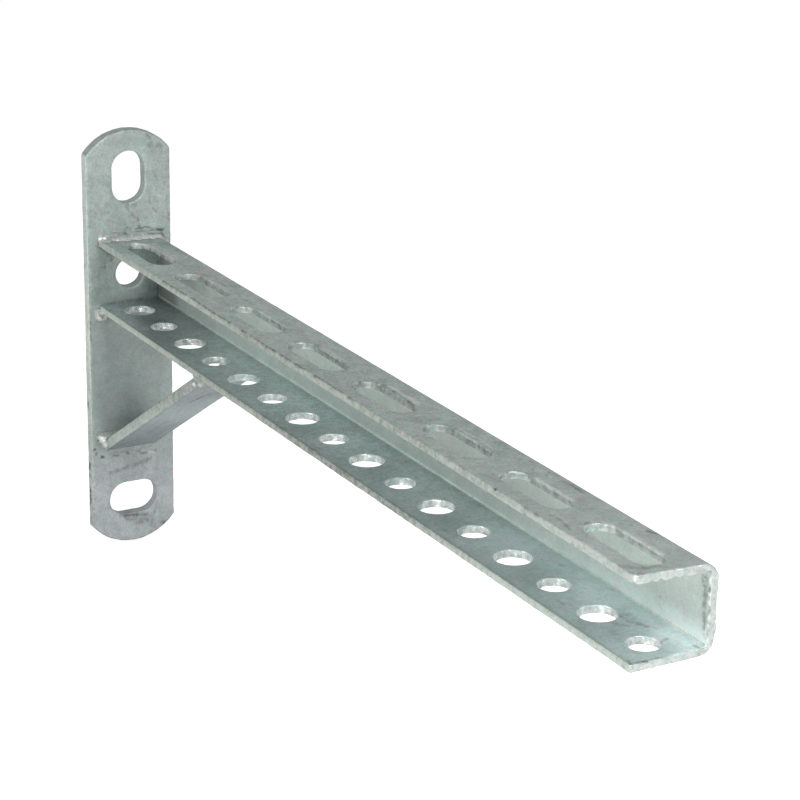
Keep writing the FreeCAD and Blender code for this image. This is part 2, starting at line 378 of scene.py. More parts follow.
def sheet(name, rims, grid, spacing, thick, place, marks=()):
    """Object for a sheet of metal, and where each of its points lies on the flat sheet.

    place turns a flat point and a depth into a place in the frame. The third value of where a point
    lies is its depth, counted in the far half from one metre at the far side, so that marks on one
    side never reach the other.
    """
    inset = [point - way * rim.soft for rim in rims for point, way in rim.points]
    tree = kdtree.KDTree(len(inset))
    for number, point in enumerate(inset):
        tree.insert(point.to_3d(), number)
    tree.balance()
    cells = fine_cells(marks)
    flat = inset + [point for point in grid if tree.find(point.to_3d())[2] > spacing * CLEAR_SHARE
                    and (round(point.x / FINE), round(point.y / FINE)) not in cells]
    for column, row in sorted(cells):
        point = Vector((column * FINE + FINE * 0.5 * (row % 2), row * FINE))
        if tree.find(point.to_3d())[2] > CLEAR_FINE:
            flat.append(point)
    loops, first = [], 0
    for rim in rims:
        loops.append(list(range(first, first + len(rim.points))))
        first += len(rim.points)
    found, _, triangles, _, _, _ = geometry.delaunay_2d_cdt(flat, [], loops, 2, 1e-9)
    used = sorted({corner for triangle in triangles for corner in triangle})
    number_of = {corner: number for number, corner in enumerate(used)}
    count = len(used)
    flats = [(found[corner].x, found[corner].y, share) for share in (0.0, 1.0) for corner in used]
    faces = [[number_of[corner] for corner in triangle] for triangle in triangles]
    faces += [[number_of[corner] + count for corner in reversed(triangle)] for triangle in triangles]
    on_rim, cut = [0.0] * len(flats), [1.0] * len(flats)
    for rim, loop in zip(rims, loops):
        rows = [[number_of[corner] for corner in loop]]
        for inward, depth in edge_profile(thick, rim.soft)[1:-1]:
            rows.append(list(range(len(flats), len(flats) + len(loop))))
            for point, way in rim.points:
                moved = point - way * inward + (way * rim.narrow + rim.shift) * (1 - depth / thick)
                flats.append((moved.x, moved.y, depth / thick))
                on_rim.append(rim.shine)
                # The cut attribute holds the painted light on the rim's walls
                cut.append(rim.light)
        rows.append([number_of[corner] + count for corner in loop])
        for corner, (point, way) in zip(rows[0], rim.points):
            moved = point - way * (rim.soft - rim.narrow) + rim.shift
            flats[corner] = (moved.x, moved.y, 0.0)
        for one, two in zip(rows, rows[1:]):
            for start in range(len(loop)):
                end = (start + 1) % len(loop)
                faces.append([one[start], one[end], two[end], two[start]])
    mesh = bpy.data.meshes.new(name)
    mesh.from_pydata([tuple(place(x, y, share * thick)) for x, y, share in flats], [], faces)
    for label, values in (("rim", on_rim), ("cut", cut)):
        mesh.attributes.new(label, "FLOAT", "POINT").data.foreach_set("value", values)
    places = [Vector((x, y, round(share) + (share - round(share)) * thick)) for x, y, share in flats]
    return finished(name, mesh), places


def finished(name, mesh):
    """Object of a mesh whose faces all look outwards and are shaded smooth."""
    work = bmesh.new()
    work.from_mesh(mesh)
    bmesh.ops.recalc_face_normals(work, faces=work.faces)
    work.to_mesh(mesh)
    work.free()
    mesh.polygons.foreach_set("use_smooth", [True] * len(mesh.polygons))
    mesh.update()
    piece = bpy.data.objects.new(name, mesh)
    bpy.context.scene.collection.objects.link(piece)
    return piece


# How far each kind of mark sinks or stands out, and the waver of their edges as wave length and reach
RISES = {"dark": -0.07, "pale": 0.04, "lump": 0.45}
WAVERS = ((1.6 * MM, 0.35), (4 * MM, 0.3))
# A mark reaches this share of its width from its line, and fades over this share of its reach
MARK_REACH = 0.75
MARK_FADE = 0.75


def painted(piece, places, marks, tone):
    """Writes a piece's marks and tones on its points, and returns how far the marks move each point.

    A mark is its kind, width and strength and line, and a lump is a pale mark that stands out. tone gives
    each place a colour factor, mostly painted light and shade, and as its fourth value how strong the zinc's
    clouds and grain are there.
    """
    mesh = piece.data
    count = len(mesh.vertices)
    masks = {"dark": [0.0] * count, "pale": [0.0] * count}
    relief = [0.0] * count
    tree = kdtree.KDTree(count)
    for number, spot in enumerate(places):
        near, far = (noise.noise_vector(spot / wave) * reach * MM for wave, reach in WAVERS)
        shake = near + far
        tree.insert(spot + Vector((shake.x, shake.y, 0)), number)
    tree.balance()
    for kind, wide, strength, points in marks:
        mask = masks["dark" if kind == "dark" else "pale"]
        rise = RISES[kind] * MM if wide < BROAD else 0.0
        reach = wide * MARK_REACH
        for spot in along_line(points, min(0.4 * MM, wide / 2)):
            for _, number, distance in tree.find_range(spot, reach):
                part = min(1.0, max(0.0, (1 - distance / reach) / MARK_FADE))
                value = strength * part * part * (3 - 2 * part)
                if value > mask[number]:
                    mask[number] = value
                    relief[number] = rise * value
    for kind, mask in masks.items():
        mesh.attributes.new(kind, "FLOAT", "POINT").data.foreach_set("value", mask)
    # Tones are mostly painted light and shade, and each cut wall also takes its rim's painted light
    tones = []
    for number, spot in enumerate(places):
        red, green, blue, strength = tone(spot) if tone else (1, 1, 1, 1)
        cut = mesh.attributes["cut"].data[number].value if "cut" in mesh.attributes else 1.0
        tones += [red * cut, green * cut, blue * cut, strength]
    mesh.attributes.new("tone", "FLOAT_COLOR", "POINT").data.foreach_set("color", tones)
    return relief


def stops(value, table):
    """Value read off a row of stops, each a position in millimetres and the value there."""
    value /= MM
    before = table[0]
    for after in table:
        if value <= after[0]:
            part = (value - before[0]) / max(after[0] - before[0], 1e-9)
            return before[1] + (after[1] - before[1]) * min(max(part, 0.0), 1.0)
        before = after
    return before[1]


def local_light(aside, along, strength, aside_stops, along_stops):
    """Factor for a light, or a shade where strength is below zero, that lies on part of a face."""
    return 1 + strength * stops(aside, aside_stops) * stops(along, along_stops)


# Wave lengths of the zinc's unevenness: broad, fine, and two that make cut edges ragged
BROAD_WAVE = 11 * MM
FINE_WAVE = 2.6 * MM
RAGGED_WAVE = 1.7 * MM
SLOW_RAGGED_WAVE = 5.5 * MM


def weathered(piece, coarse, fine, ragged, relief, wild=None):
    """Moves the skin in and out as dipped zinc does, more on the cut edges, and most where wild says so."""
    mesh = piece.data
    normals = [vertex.normal.copy() for vertex in mesh.vertices]
    rim = mesh.attributes["rim"].data
    for number, vertex in enumerate(mesh.vertices):
        place = vertex.co
        shift = coarse * noise.noise(place / BROAD_WAVE) + fine * noise.noise(place / FINE_WAVE)
        if rim[number].value > 0:
            rough = noise.noise(place / RAGGED_WAVE) + noise.noise(place / SLOW_RAGGED_WAVE) - 0.3
            shift += ragged * rough * (wild(place) if wild else 1.0)
        moved = place + normals[number] * (relief[number] + shift)
        vertex.co = [min(max(moved[axis], CAD_LOW[axis]), CAD_HIGH[axis]) for axis in range(3)]
    mesh.update()


def settle(piece, node, material):
    """Gives a piece its zinc, puts it in the place of its node and lets it ride with the arm."""
    piece.data.materials.append(material)
    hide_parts(node)
    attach(piece, "root")


def zinced(made, marks, tone, skin, node, material, wild=None):
    """Paints and weathers what sheet() made and puts it in its node's place."""
    piece, places = made
    weathered(piece, *skin, painted(piece, places, marks, tone), wild)
    settle(piece, node, material)


# Zinc: node groups for what the materials share, then one material for each kind of piece


class Net:
    """Adds nodes to a tree and links or sets their inputs."""

    def __init__(self, tree):
        self.tree = tree

    def add(self, kind, inputs=None, **settings):
        made = self.tree.nodes.new(kind)
        for key, value in settings.items():
            setattr(made, key, value)
        for key, value in (inputs or {}).items():
            if isinstance(value, bpy.types.NodeSocket):
                self.tree.links.new(value, made.inputs[key])
            else:
                made.inputs[key].default_value = value
        return made

    def noise(self, place, scale, detail=2.0, roughness=0.5, distortion=0.0):
        """Noise over the surface, as a value about one half."""
        inputs = {"Vector": place, "Scale": scale, "Detail": detail, "Roughness": roughness}
        return self.add("ShaderNodeTexNoise", inputs | {"Distortion": distortion}).outputs["Fac"]

    def math(self, operation, one, two):
        """One sum on two values."""
        return self.add("ShaderNodeMath", {0: one, 1: two}, operation=operation).outputs[0]

    def times(self, one, two):
        """Product of two values."""
        return self.math("MULTIPLY", one, two)

    def plus(self, one, two):
        """Sum of two values."""
        return self.math("ADD", one, two)

    def ramp(self, value, low, high, to_low=0.0, to_high=1.0):
        """Value carried smoothly from one range to another."""
        inputs = {"Value": value, "From Min": low, "From Max": high, "To Min": to_low, "To Max": to_high}
        return self.add("ShaderNodeMapRange", inputs, interpolation_type="SMOOTHSTEP").outputs["Result"]

    def mix(self, share, one, two, kind="MIX"):
        """Blend of two colours."""
        inputs = {0: share, 6: one, 7: two}
        return self.add("ShaderNodeMix", inputs, data_type="RGBA", blend_type=kind).outputs[2]

    def tinted(self, one, two):
        """Product of two colours."""
        return self.mix(1.0, one, two, "MULTIPLY")


def new_group(name, inputs, outputs):
    """Node group with named inputs and outputs, and its two end nodes."""
    group = bpy.data.node_groups.new(name, "ShaderNodeTree")
    for label, kind, default in inputs:
        socket = group.interface.new_socket(label, in_out="INPUT", socket_type="NodeSocket" + kind)
        socket.default_value = default
    for label, kind in outputs:
        group.interface.new_socket(label, in_out="OUTPUT", socket_type="NodeSocket" + kind)
    net = Net(group)
    return group, net, net.add("NodeGroupInput").outputs, net.add("NodeGroupOutput").inputs


def rgba(tone):
    """Colour with full alpha."""
    return (tone[0], tone[1], tone[2], 1.0)


def zinc_skin_group():
    """Cloudy, mottled and grained zinc with a green and rose tint: its colour, roughness and height."""
    if "zinc_skin" in bpy.data.node_groups:
        return bpy.data.node_groups["zinc_skin"]
    group, net, given, result = new_group(
        "zinc_skin",
        [("Tone", "Color", (0.5, 0.5, 0.5, 1)), ("Cloud", "Float", 0.1), ("Mottle", "Float", 0.1),
         ("Grain", "Float", 0.05), ("Strength", "Float", 1.0), ("Roughness", "Float", 0.5)],
        [("Color", "Color"), ("Roughness", "Float"), ("Height", "Float"), ("Break", "Float")])
    place = net.add("ShaderNodeTexCoord").outputs["Object"]
    cloud = net.noise(place, 28.0, 3.0, 0.55, 0.6)
    mottle = net.noise(place, 150.0, 3.0, 0.6, 0.5)
    blot = net.noise(place, 430.0, 2.0, 0.6)
    grain = net.noise(place, 1000.0, 2.0, 0.6)
    sand = net.noise(place, 2300.0, 1.0)
    tint = net.noise(place, 760.0, 2.0, 0.7)
    patch = net.noise(place, 60.0, 3.0, 0.6)
    swing = None
    for value, factor, share in (
        (cloud, 1.0, given["Cloud"]), (mottle, 1.0, given["Mottle"]),
        (blot, 0.8, given["Grain"]), (grain, 1.0, given["Grain"]), (sand, 0.9, given["Grain"]),
    ):
        part = net.times(net.ramp(value, 0.25, 0.75, -factor, factor), share)
        swing = net.plus(swing, part) if swing else part
    swing = net.times(swing, given["Strength"])
    lit = net.plus(swing, 1.0)
    grey = net.add("ShaderNodeCombineColor", {0: lit, 1: lit, 2: lit}).outputs[0]
    tone = net.tinted(given["Tone"], grey)
    for value, far in ((tint, 0.115), (patch, 0.02)):
        green, rose = (1 - far, 1 + 0.5 * far, 1, 1), (1 + far, 1 - 0.5 * far, 1, 1)
        hue = net.mix(net.ramp(value, 0.3, 0.7), green, rose)
        tone = net.mix(given["Strength"], tone, net.tinted(tone, hue))
    rough = net.plus(given["Roughness"], net.times(swing, -0.4))
    rough = net.plus(rough, net.ramp(mottle, 0.3, 0.7, -0.06, 0.06))
    height = net.plus(net.plus(mottle, net.times(blot, 0.5)), net.times(grain, 0.35))
    for label, value in (("Color", tone), ("Roughness", rough), ("Height", height), ("Break", blot)):
        net.tree.links.new(value, result[label])
    return group


def zinc_material(name, tone, look, cloud, mottle, grain, bump):
    """Hot-dip zinc with bright cut edges and glittering bores, under its piece's dark and pale marks. The
    edges' brightness is partly a painted highlight, and the glitter's bright colour is one.

    The rim value says how a place was cut: none on the faces, up to one half on edges and in oblong
    holes, more on balls of weld, and one in the round holes.
    """
    material = bpy.data.materials.new(name)
    material.use_nodes = True
    material.node_tree.nodes.clear()
    net = Net(material.node_tree)
    skin = net.add("ShaderNodeGroup", node_tree=zinc_skin_group())
    for key, value in {"Tone": rgba(tone), "Cloud": cloud, "Mottle": mottle, "Grain": grain,
                       "Roughness": look.roughness}.items():
        skin.inputs[key].default_value = value
    region = net.add("ShaderNodeAttribute", attribute_name="tone").outputs
    net.tree.links.new(region["Alpha"], skin.inputs["Strength"])
    base = net.tinted(skin.outputs["Color"], region["Color"])
    rim, dark, pale = (net.add("ShaderNodeAttribute", attribute_name=label).outputs["Fac"]
                       for label in ("rim", "dark", "pale"))
    broken = skin.outputs["Break"]
    # Pale zinc on the cut edges, partly a painted highlight where the cuts catch the light
    lump = net.times(net.ramp(rim, 0.32, 0.5), net.ramp(broken, 0.35, 0.62, 0.08, 0.55))
    seam = net.times(net.ramp(rim, 0.03, 0.18), net.ramp(rim, 0.44, 0.3))
    seam = net.times(seam, net.ramp(broken, 0.62, 0.4, 0.1, 0.45))
    # Glitter: glossier zinc that also carries a painted highlight of the bright tone
    glitter = net.times(net.ramp(rim, 0.55, 0.95), net.ramp(broken, 0.42, 0.66))
    pale = net.times(pale, net.ramp(broken, 0.3, 0.55, 0.55, 1.0))
    dark = net.times(dark, net.ramp(broken, 0.62, 0.42, 0.35, 1.0))
    for mask, paint in (
        (lump, look.pale), (seam, look.dark), (net.times(glitter, 0.8), look.bright),
        (pale, look.pale), (dark, look.dark),
    ):
        base = net.mix(mask, base, rgba(paint))
    rough = net.math("SUBTRACT", skin.outputs["Roughness"], net.times(glitter, 0.28))
    relief = net.add("ShaderNodeBump", {
        "Height": skin.outputs["Height"], "Strength": bump, "Distance": 0.25 * MM})
    surface = net.add("ShaderNodeBsdfPrincipled", {
        "Base Color": base, "Roughness": rough, "Normal": relief.outputs["Normal"], "Metallic": 0.55})
    net.add("ShaderNodeOutputMaterial", {"Surface": surface.outputs[0]})
    return material


# Marks: each is its kind, width and strength and then the points of its line, all in millimetres.
# A mark of one point is a spot.


def as_drawn(one, two):
    """Leaves a place on the flat sheet as its table gives it."""
    return one, two


def flat_marks(table, side, to_flat=as_drawn):
    """Marks of a table at one depth of a flat sheet, where 0 is its first side and 1 its other side."""
    return [(kind, wide * MM, strength, [Vector((*to_flat(one * MM, two * MM), side)) for one, two in line])
            for kind, wide, strength, *line in table]


def depth_of(spot, thick):
    """Depth in its sheet of a place that sheet() gave."""
    return spot.z if spot.z < 0.5 else spot.z - 1 + thick


# Wall plate

# Its painted light and shade by height, lighter low on the plate and darker at the brace's foot and between
# the flanges, the strength of its grain by height, and how lilac it is under the brace
PLATE_LIGHT_AND_SHADE = (
    (-85, 1.24), (-64, 1.15), (-49, 1.0), (-25, 1.07), (-7, 0.96), (20, 0.9), (50, 0.97), (74, 0.94),
)
PLATE_GRAIN = ((-60, 0.7), (-45, 0.55), (15, 0.6), (30, 0.85), (60, 0.8))
PLATE_LILAC = ((-60, 1.0), (-40, 0.0))
# Painted light on its cut faces: the long sides by height, lighter than the front as a painted highlight, and
# the cropped ends by depth
PLATE_SIDE_LIGHT = ((-80, 1.25), (-52, 1.33), (0, 1.88), (60, 1.78))
CROWN_TONE = ((0.1, 0.8), (0.6, 0.9), (1.5, 1.12), (4, 1.2))
# Share of the shade between the flanges, across and by height, and the shade low on the right, across
BETWEEN_ACROSS = ((1, 0), (10, 1))
BETWEEN_UP = ((15, 0), (21, 1), (38, 1), (44, 0))
BETWEEN_SHADE = 0.22
LOW_RIGHT_TONE = ((6, 1.0), (15, 0.94))
LOW_RIGHT_TOP = -45 * MM

# On its front face: distance across from its middle, and height
PLATE_MARKS = (
    # round the upper oblong hole
    ("dark", 1.6, 0.5, (8.9, 89.7), (9.8, 88.3)),
    ("dark", 2.4, 0.35, (8.3, 86.3), (14.8, 84.3)),
    ("dark", 1.2, 0.4, (18.4, 79.6)),
    ("dark", 0.9, 0.35, (10.9, 74.3), (13.6, 70.1)),
    ("dark", 1.2, 0.4, (16.4, 68.5), (17.3, 68.4)),
    ("pale", 1.1, 0.5, (13.5, 62.7), (14.9, 62.5)),
    ("dark", 0.8, 0.4, (9.3, 61.4), (11.1, 57.7), (13.4, 54.8), (18, 52.4)),
    ("dark", 0.9, 0.35, (17.2, 62.2), (18.5, 51.5)),
    ("dark", 2.4, 0.4, (-3.1, 62), (2.8, 60.4)),
    ("dark", 1.6, 0.35, (-1.3, 60.5), (-0.4, 58.2)),
    ("dark", 0.9, 0.3, (-0.4, 58.2), (2.7, 54.3)),
    ("dark", 1.4, 0.5, (3.9, 54.1), (4.7, 50.1)),
    # along the upper toe of the bead on the arm
    ("dark", 0.8, 0.7, (-2, 49.6), (-1, 50.3), (-0.1, 50.4), (0.8, 49.7)),
    ("dark", 1.0, 0.6, (3.1, 49.4), (5.4, 49.3), (7.7, 49.9), (9.6, 48.8), (11.9, 48.1)),
    ("dark", 1.2, 0.9, (12.8, 47.8), (15.6, 47.4)),
    # between the flanges and beside them
    ("dark", 1.2, 0.4, (-14.5, 44.1), (-8.2, 38.9)),
    ("dark", 1.2, 0.5, (-8.4, 38.5), (-8.5, 37.2)),
    ("dark", 1.6, 0.4, (-11.5, 34.5)),
    ("dark", 1.6, 0.7, (12.7, 23.2), (12.6, 17.4)),
    ("dark", 6.0, 0.3, (10.6, 26.7), (11, 17.6)),
    ("dark", 1.0, 0.5, (-18.7, 11.9), (-18.9, 2.5)),
    # beside the left edge, from the brace down
    ("dark", 0.9, 0.6, (-19.1, -64.5)),
    ("dark", 0.9, 0.6, (-18.8, -70.7)),
    ("dark", 1.0, 0.6, (-19.1, -74.8)),
    # under the brace's foot
    ("dark", 1.3, 0.9, (-18.2, -47.2)),
    ("dark", 1.3, 0.8, (-17.4, -49.4)),
    ("dark", 1.3, 0.9, (-15.3, -51.2), (-13.9, -51.4)),
    ("dark", 1.0, 0.5, (-9.6, -51.7), (-7, -51.9)),
    ("dark", 1.3, 0.8, (-3, -51.2), (-2.2, -52)),
    ("dark", 1.3, 0.9, (1.6, -51), (3.4, -51.9)),
    ("dark", 1.2, 0.5, (3.7, -52.5), (6, -52.9)),
    ("pale", 1.3, 0.8, (7.5, -52.7), (9.9, -53.1)),
    ("dark", 1.4, 0.8, (10.8, -52.1)),
    ("dark", 1.8, 0.4, (-10.7, -59.4), (4.1, -56.8), (7.9, -55.6)),
    # under the lower oblong hole
    ("dark", 1.8, 0.7, (-6.4, -80.6), (6, -81.6)),
    ("dark", 1.4, 0.6, (2.7, -81), (5.1, -81.2)),
    ("dark", 4.0, 0.4, (-3.1, -81.6), (8.4, -86.1)),
    ("dark", 2.0, 0.35, (10.8, -76.5), (11.5, -79.5), (8, -83)),
    ("dark", 2.2, 0.8, (13.6, -87.4), (16, -88.8)),
    ("dark", 1.2, 0.5, (7.8, -91.2)),
    # in the corners with the arm's web and bottom flange: dark joint lines with painted shade
    ("dark", 1.1, 0.45, (-13.5, 18.1), (0, 18.1), (12.5, 18.1)),
    ("dark", 1.0, 0.5, (13, 18), (13, 40)),
)

# Along its left side, on the border to the back, at this depth
NEAR_BACK = 1 - 1.2 * MM
PLATE_EDGE_MARKS = (
    ("dark", 2.6, 0.6, (-19.3, -25.4), (-19.3, -28.1)),
    ("dark", 2.9, 1.0, (-19.3, -55.4), (-19.3, -56.4)),
    ("dark", 2.4, 0.6, (-19.3, -60.1)),
    ("dark", 2.9, 1.0, (-19.3, -67.3), (-19.3, -73)),
    ("dark", 2.4, 0.5, (-19.3, -80.9)),
)


class STRUTARM_OT_wall_plate(bpy.types.Operator):
    """Build the wall plate with its crowned ends and its three holes"""
    bl_idname = "strut_arm.wall_plate"
    bl_label = "Wall plate"

    def execute(self, context):
        sizes = context.scene.strut_arm.plate
        look = context.scene.strut_arm.zinc
        size = PLATE_HIGH - PLATE_LOW
        to_fixing = Vector((0, size.z / 2 - sizes.fixing_from_end))
        outline = crowned_outline(size.y, size.z, sizes.crown_rise, sizes.top_corner, sizes.bottom_corner)
        rims = [Rim(outline, sizes.soft_edge, PLATE_CUT)]
        # The last value is the painted light on each hole's walls, more on the upper oblong hole
        for middle, long, wide, turn, light in (
            (to_fixing, sizes.fixing_length, sizes.fixing_width, QUARTER, 1.25),
            (-to_fixing, sizes.fixing_length, sizes.fixing_width, 0, 1.0),
            (Vector((0, sizes.middle_hole_up)), sizes.middle_hole, sizes.middle_hole, 0, 1.0),
        ):
            points = oblong_rim(middle, long, wide, turn)
            rims.append(Rim(points, 0.5 * sizes.soft_edge, PLATE_HOLE_CUT, light))
        spacing = SHEET_GRID
        grid = staggered(spread(-size.y / 2, size.y / 2, spacing), spread(-size.z / 2, size.z / 2, spacing))

        def place(across, up, depth):
            """The plate's front face looks out along the arm."""
            return Vector((PLATE_HIGH.x - depth, across, up))

        def tone(spot):
            """Painted light and shade: lighter above the arm and low on the plate than between the flanges
            and under the brace, where shade falls.
            """
            # The long cut sides carry a painted highlight, and the cropped ends painted light by depth
            if abs(spot.x) > size.y / 2 - ON_SIDE:
                light = stops(spot.y, PLATE_SIDE_LIGHT)
                return 1.02 * light, light, 0.95 * light, 0.7
            depth = depth_of(spot, size.x)
            if abs(spot.y) > size.z / 2 - sizes.crown_rise and 0 < depth < size.x:
                light = stops(depth, CROWN_TONE)
                return light, light, 0.98 * light, 0.6
            # Painted light and shade by height, then painted shade between the flanges and low on the right
            light, lilac = stops(spot.y, PLATE_LIGHT_AND_SHADE), stops(spot.y, PLATE_LILAC)
            light *= 1 - BETWEEN_SHADE * stops(spot.x, BETWEEN_ACROSS) * stops(spot.y, BETWEEN_UP)
            if spot.y < LOW_RIGHT_TOP:
                light *= stops(spot.x, LOW_RIGHT_TONE)
            tint = 1 + 0.05 * lilac, 1 - 0.02 * lilac, 1 + 0.03 * lilac
            return *(light * share for share in tint), stops(spot.y, PLATE_GRAIN)

        marks = flat_marks(PLATE_MARKS, 0) + flat_marks(PLATE_EDGE_MARKS, NEAR_BACK)
        made = sheet("plate_zinced", rims, grid, spacing, size.x, place, marks)
        material = zinc_material(
            "Zinc on plate", look.plate, look, cloud=0.11, mottle=0.14, grain=0.11, bump=0.5)
        zinced(made, marks, tone, PLATE_SKIN, "wall_plate", material)
        return {"FINISHED"}


# Channel


def fold_point(hub, start, turn, sizes, part, depth):
    """Point of a fold, part of the way round it. Its outside is round and its inside is nearly sharp."""
    outer, inner = sizes.fold_outside, sizes.fold_inside
    outside = hub + unit(start + turn * part) * outer
    reach = outer - sizes.wall
    straight = (reach - inner) * math.tan(turn / 2)
    travelled = part * (2 * straight + inner * turn)
    middle = hub + unit(start) * (reach - inner) + unit(start + QUARTER) * straight
    if travelled < straight:
        inside = hub + unit(start) * reach + unit(start + QUARTER) * travelled
    elif travelled < straight + inner * turn:
        inside = middle + unit(start + (travelled - straight) / inner) * inner
    else:
        end = start + turn
        inside = middle + unit(end) * inner + unit(end + QUARTER) * (travelled - straight - inner * turn)
    return outside.lerp(inside, depth / sizes.wall)


def channel_section(sizes):
    """Lengths of the channel's five stretches on the flat sheet, and the middles of its folds."""
    outer, inner = sizes.fold_outside, sizes.fold_inside
    reach = outer - sizes.wall

    def bend(turn):
        """Middle of a fold's lengths outside and inside."""
        return (outer * turn + 2 * (reach - inner) * math.tan(turn / 2) + inner * turn) / 2

    hub_y = ARM_HIGH.y - outer
    low_hub = Vector((hub_y, ARM_LOW.z + outer))
    high_hub = Vector((hub_y, ARM_LOW.z + sizes.height - outer))
    flange = hub_y - ARM_LOW.y
    top = (flange + (outer - sizes.wall / 2) * math.sin(sizes.lean)) / math.cos(sizes.lean)
    return [flange, bend(QUARTER), high_hub.y - low_hub.y, bend(QUARTER - sizes.lean), top], low_hub, high_hub


def channel_place(sizes):
    """Function that folds the flat channel; run goes from the lower lip round to the upper one."""
    (flange, low_bend, web, high_bend, _), low_hub, high_hub = channel_section(sizes)
    outer, lean = sizes.fold_outside, sizes.lean

    def place(along, run, depth):
        if run <= flange:
            point = Vector((ARM_LOW.y + run, ARM_LOW.z + depth))
        elif run <= flange + low_bend:
            point = fold_point(low_hub, -QUARTER, QUARTER, sizes, (run - flange) / low_bend, depth)
        elif run <= flange + low_bend + web:
            point = low_hub + Vector((outer - depth, run - flange - low_bend))
        elif run <= flange + low_bend + web + high_bend:
            part = (run - flange - low_bend - web) / high_bend
            point = fold_point(high_hub, 0, QUARTER - lean, sizes, part, depth)
        else:
            left = run - flange - low_bend - web - high_bend
            point = high_hub + unit(QUARTER - lean) * (outer - depth) + unit(2 * QUARTER - lean) * left
        return Vector((ARM_LOW.x + along, point.x, point.y))

    return place


# Share of a fold's run on either side of its nearly sharp middle, and the grid there and in the middle
FOLD_SIDE = 0.41
FOLD_GRID = 0.75 * MM
CREASE_GRID = 0.27 * MM


def channel_rows(stretches, spacing):
    """Rows of the channel's grid: closer in the folds, and closest where they are nearly sharp inside."""
    rows, start = [0.0], 0.0
    for number, stretch in enumerate(stretches):
        if number % 2:
            near, far = start + stretch * FOLD_SIDE, start + stretch * (1 - FOLD_SIDE)
            rows += spread(start, near, FOLD_GRID)[1:]
            rows += spread(near, far, CREASE_GRID)[1:]
            rows += spread(far, start + stretch, FOLD_GRID)[1:]
        else:
            rows += spread(start, start + stretch, spacing)[1:]
        start += stretch
    return rows


LEAST_END_METAL = 4 * MM


def row_of(first, pitch, reach, long):
    """Distances along the arm of a row of holes that keeps clear of the free end."""
    return spread(first, first + pitch * ((long - first - reach - LEAST_END_METAL) // pitch), pitch)


# Painted light and shade, with some of the zinc's own unevenness, by distance from the plate: bottom flange
# and web inside, top flange, and the two lips
FLOOR_LIGHT = (
    (0, 0.83), (15, 0.88), (32, 0.63), (60, 0.75), (86, 0.92),
    (150, 0.94), (255, 0.91), (310, 1.0), (395, 1.03),
)
WEB_LIGHT = (
    (0, 0.8), (9, 1.12), (40, 1.27), (100, 1.43), (165, 1.28),
    (225, 1.2), (285, 1.14), (340, 1.27), (395, 1.3),
)
TOP_LIGHT = ((0, 0.76), (20, 0.86), (32, 1.03), (86, 1.1), (145, 1.0), (200, 0.96), (300, 0.9), (395, 0.9))
LOW_LIP_LIGHT = ((30, 1.36), (88, 0.9), (145, 0.85), (200, 0.5), (255, 0.6), (311, 1.12), (367, 1.2))
HIGH_LIP_LIGHT = ((30, 1.1), (88, 1.28), (145, 0.78), (200, 1.08), (255, 0.8), (311, 0.95), (367, 1.12))
LIP_RED = ((250, 1.0), (310, 0.985))
LIP_BLUE = ((250, 0.905), (310, 0.94))
# Strength of the grain by distance from the plate
TOP_GRAIN = ((290, 1.0), (340, 0.8))
FLOOR_GRAIN = ((200, 1.0), (320, 0.6))
# Painted light on the cut of the free end: on the top flange, and on the web and bottom flange
END_CUT_LIGHT = (1.04, 1.1)
# Painted light and shade on the walls of the oblong holes: the first hole by depth, the others by depth and
# by distance from the plate
FIRST_SLOT_LIGHT = ((0.2, 0.74), (0.6, 0.7), (1.2, 0.74), (1.6, 0.58), (2, 0.42), (2.4, 0.35))
SLOT_LIGHT = ((0.2, 1.28), (0.6, 1.08), (1.2, 0.88), (1.8, 0.95), (2.4, 1.2))
SLOT_ROW_LIGHT = ((100, 1.0), (250, 0.9), (300, 1.0), (370, 1.15))
# Painted highlight line in the lower crease: where it lies round the middle of the fold, and its painted
# light from the plate on
CREASE_LOW = -0.4 * MM
CREASE_HIGH = 0.6 * MM
CREASE_HIGHLIGHT = ((20, 0.95), (70, 1.5), (250, 1.5), (340, 1.35))
# Painted light and shade on the bottom flange, by distance from the lip near the plate and beyond it, and by
# distance from the crease
FIRST_FLOOR_LIGHT = ((0, 1.35), (5, 1.25), (9, 0.95), (14, 0.8), (20, 0.65), (27, 0.57))
NEXT_FLOOR_LIGHT = ((0, 1.9), (3, 1.55), (6, 1.2), (9, 0.85), (12, 0.7), (16, 0.75), (20, 0.9), (26, 1.0))
LIP_SHADE = ((0.4, 0.7), (1.6, 1.0))
FLOOR_FROM_WEB_LIGHT = (
    (0, 0.95), (2, 1.0), (5, 1.1), (8, 1.14), (11, 1.08), (14, 1.0), (18, 0.95), (27, 0.91),
)
FLOOR_BLUE = ((200, 1.04), (320, 1.05))
# Light thrown from the web on the flange: how much, by distance from the crease and from the plate
FLOOR_GLOW = (0.2, ((2, 1), (14, 0)), ((290, 0), (350, 1)))
# Painted light on the web by height over the crease, its blue share, and the same kind of painted light and
# shades on it
WEB_UP_LIGHT = ((3, 1.06), (8, 1.0), (22, 1.12))
WEB_BLUE = ((6, 1.01), (22, 0.97))
WEB_SHADES = (
    (0.4, ((2, 1), (9, 0)), ((230, 0), (390, 1))),
    (-0.45, ((6, 1), (8, 0)), ((14, 1), (22, 0))),
    (-0.38, ((11, 0), (16, 1)), ((25, 1), (50, 0))),
)

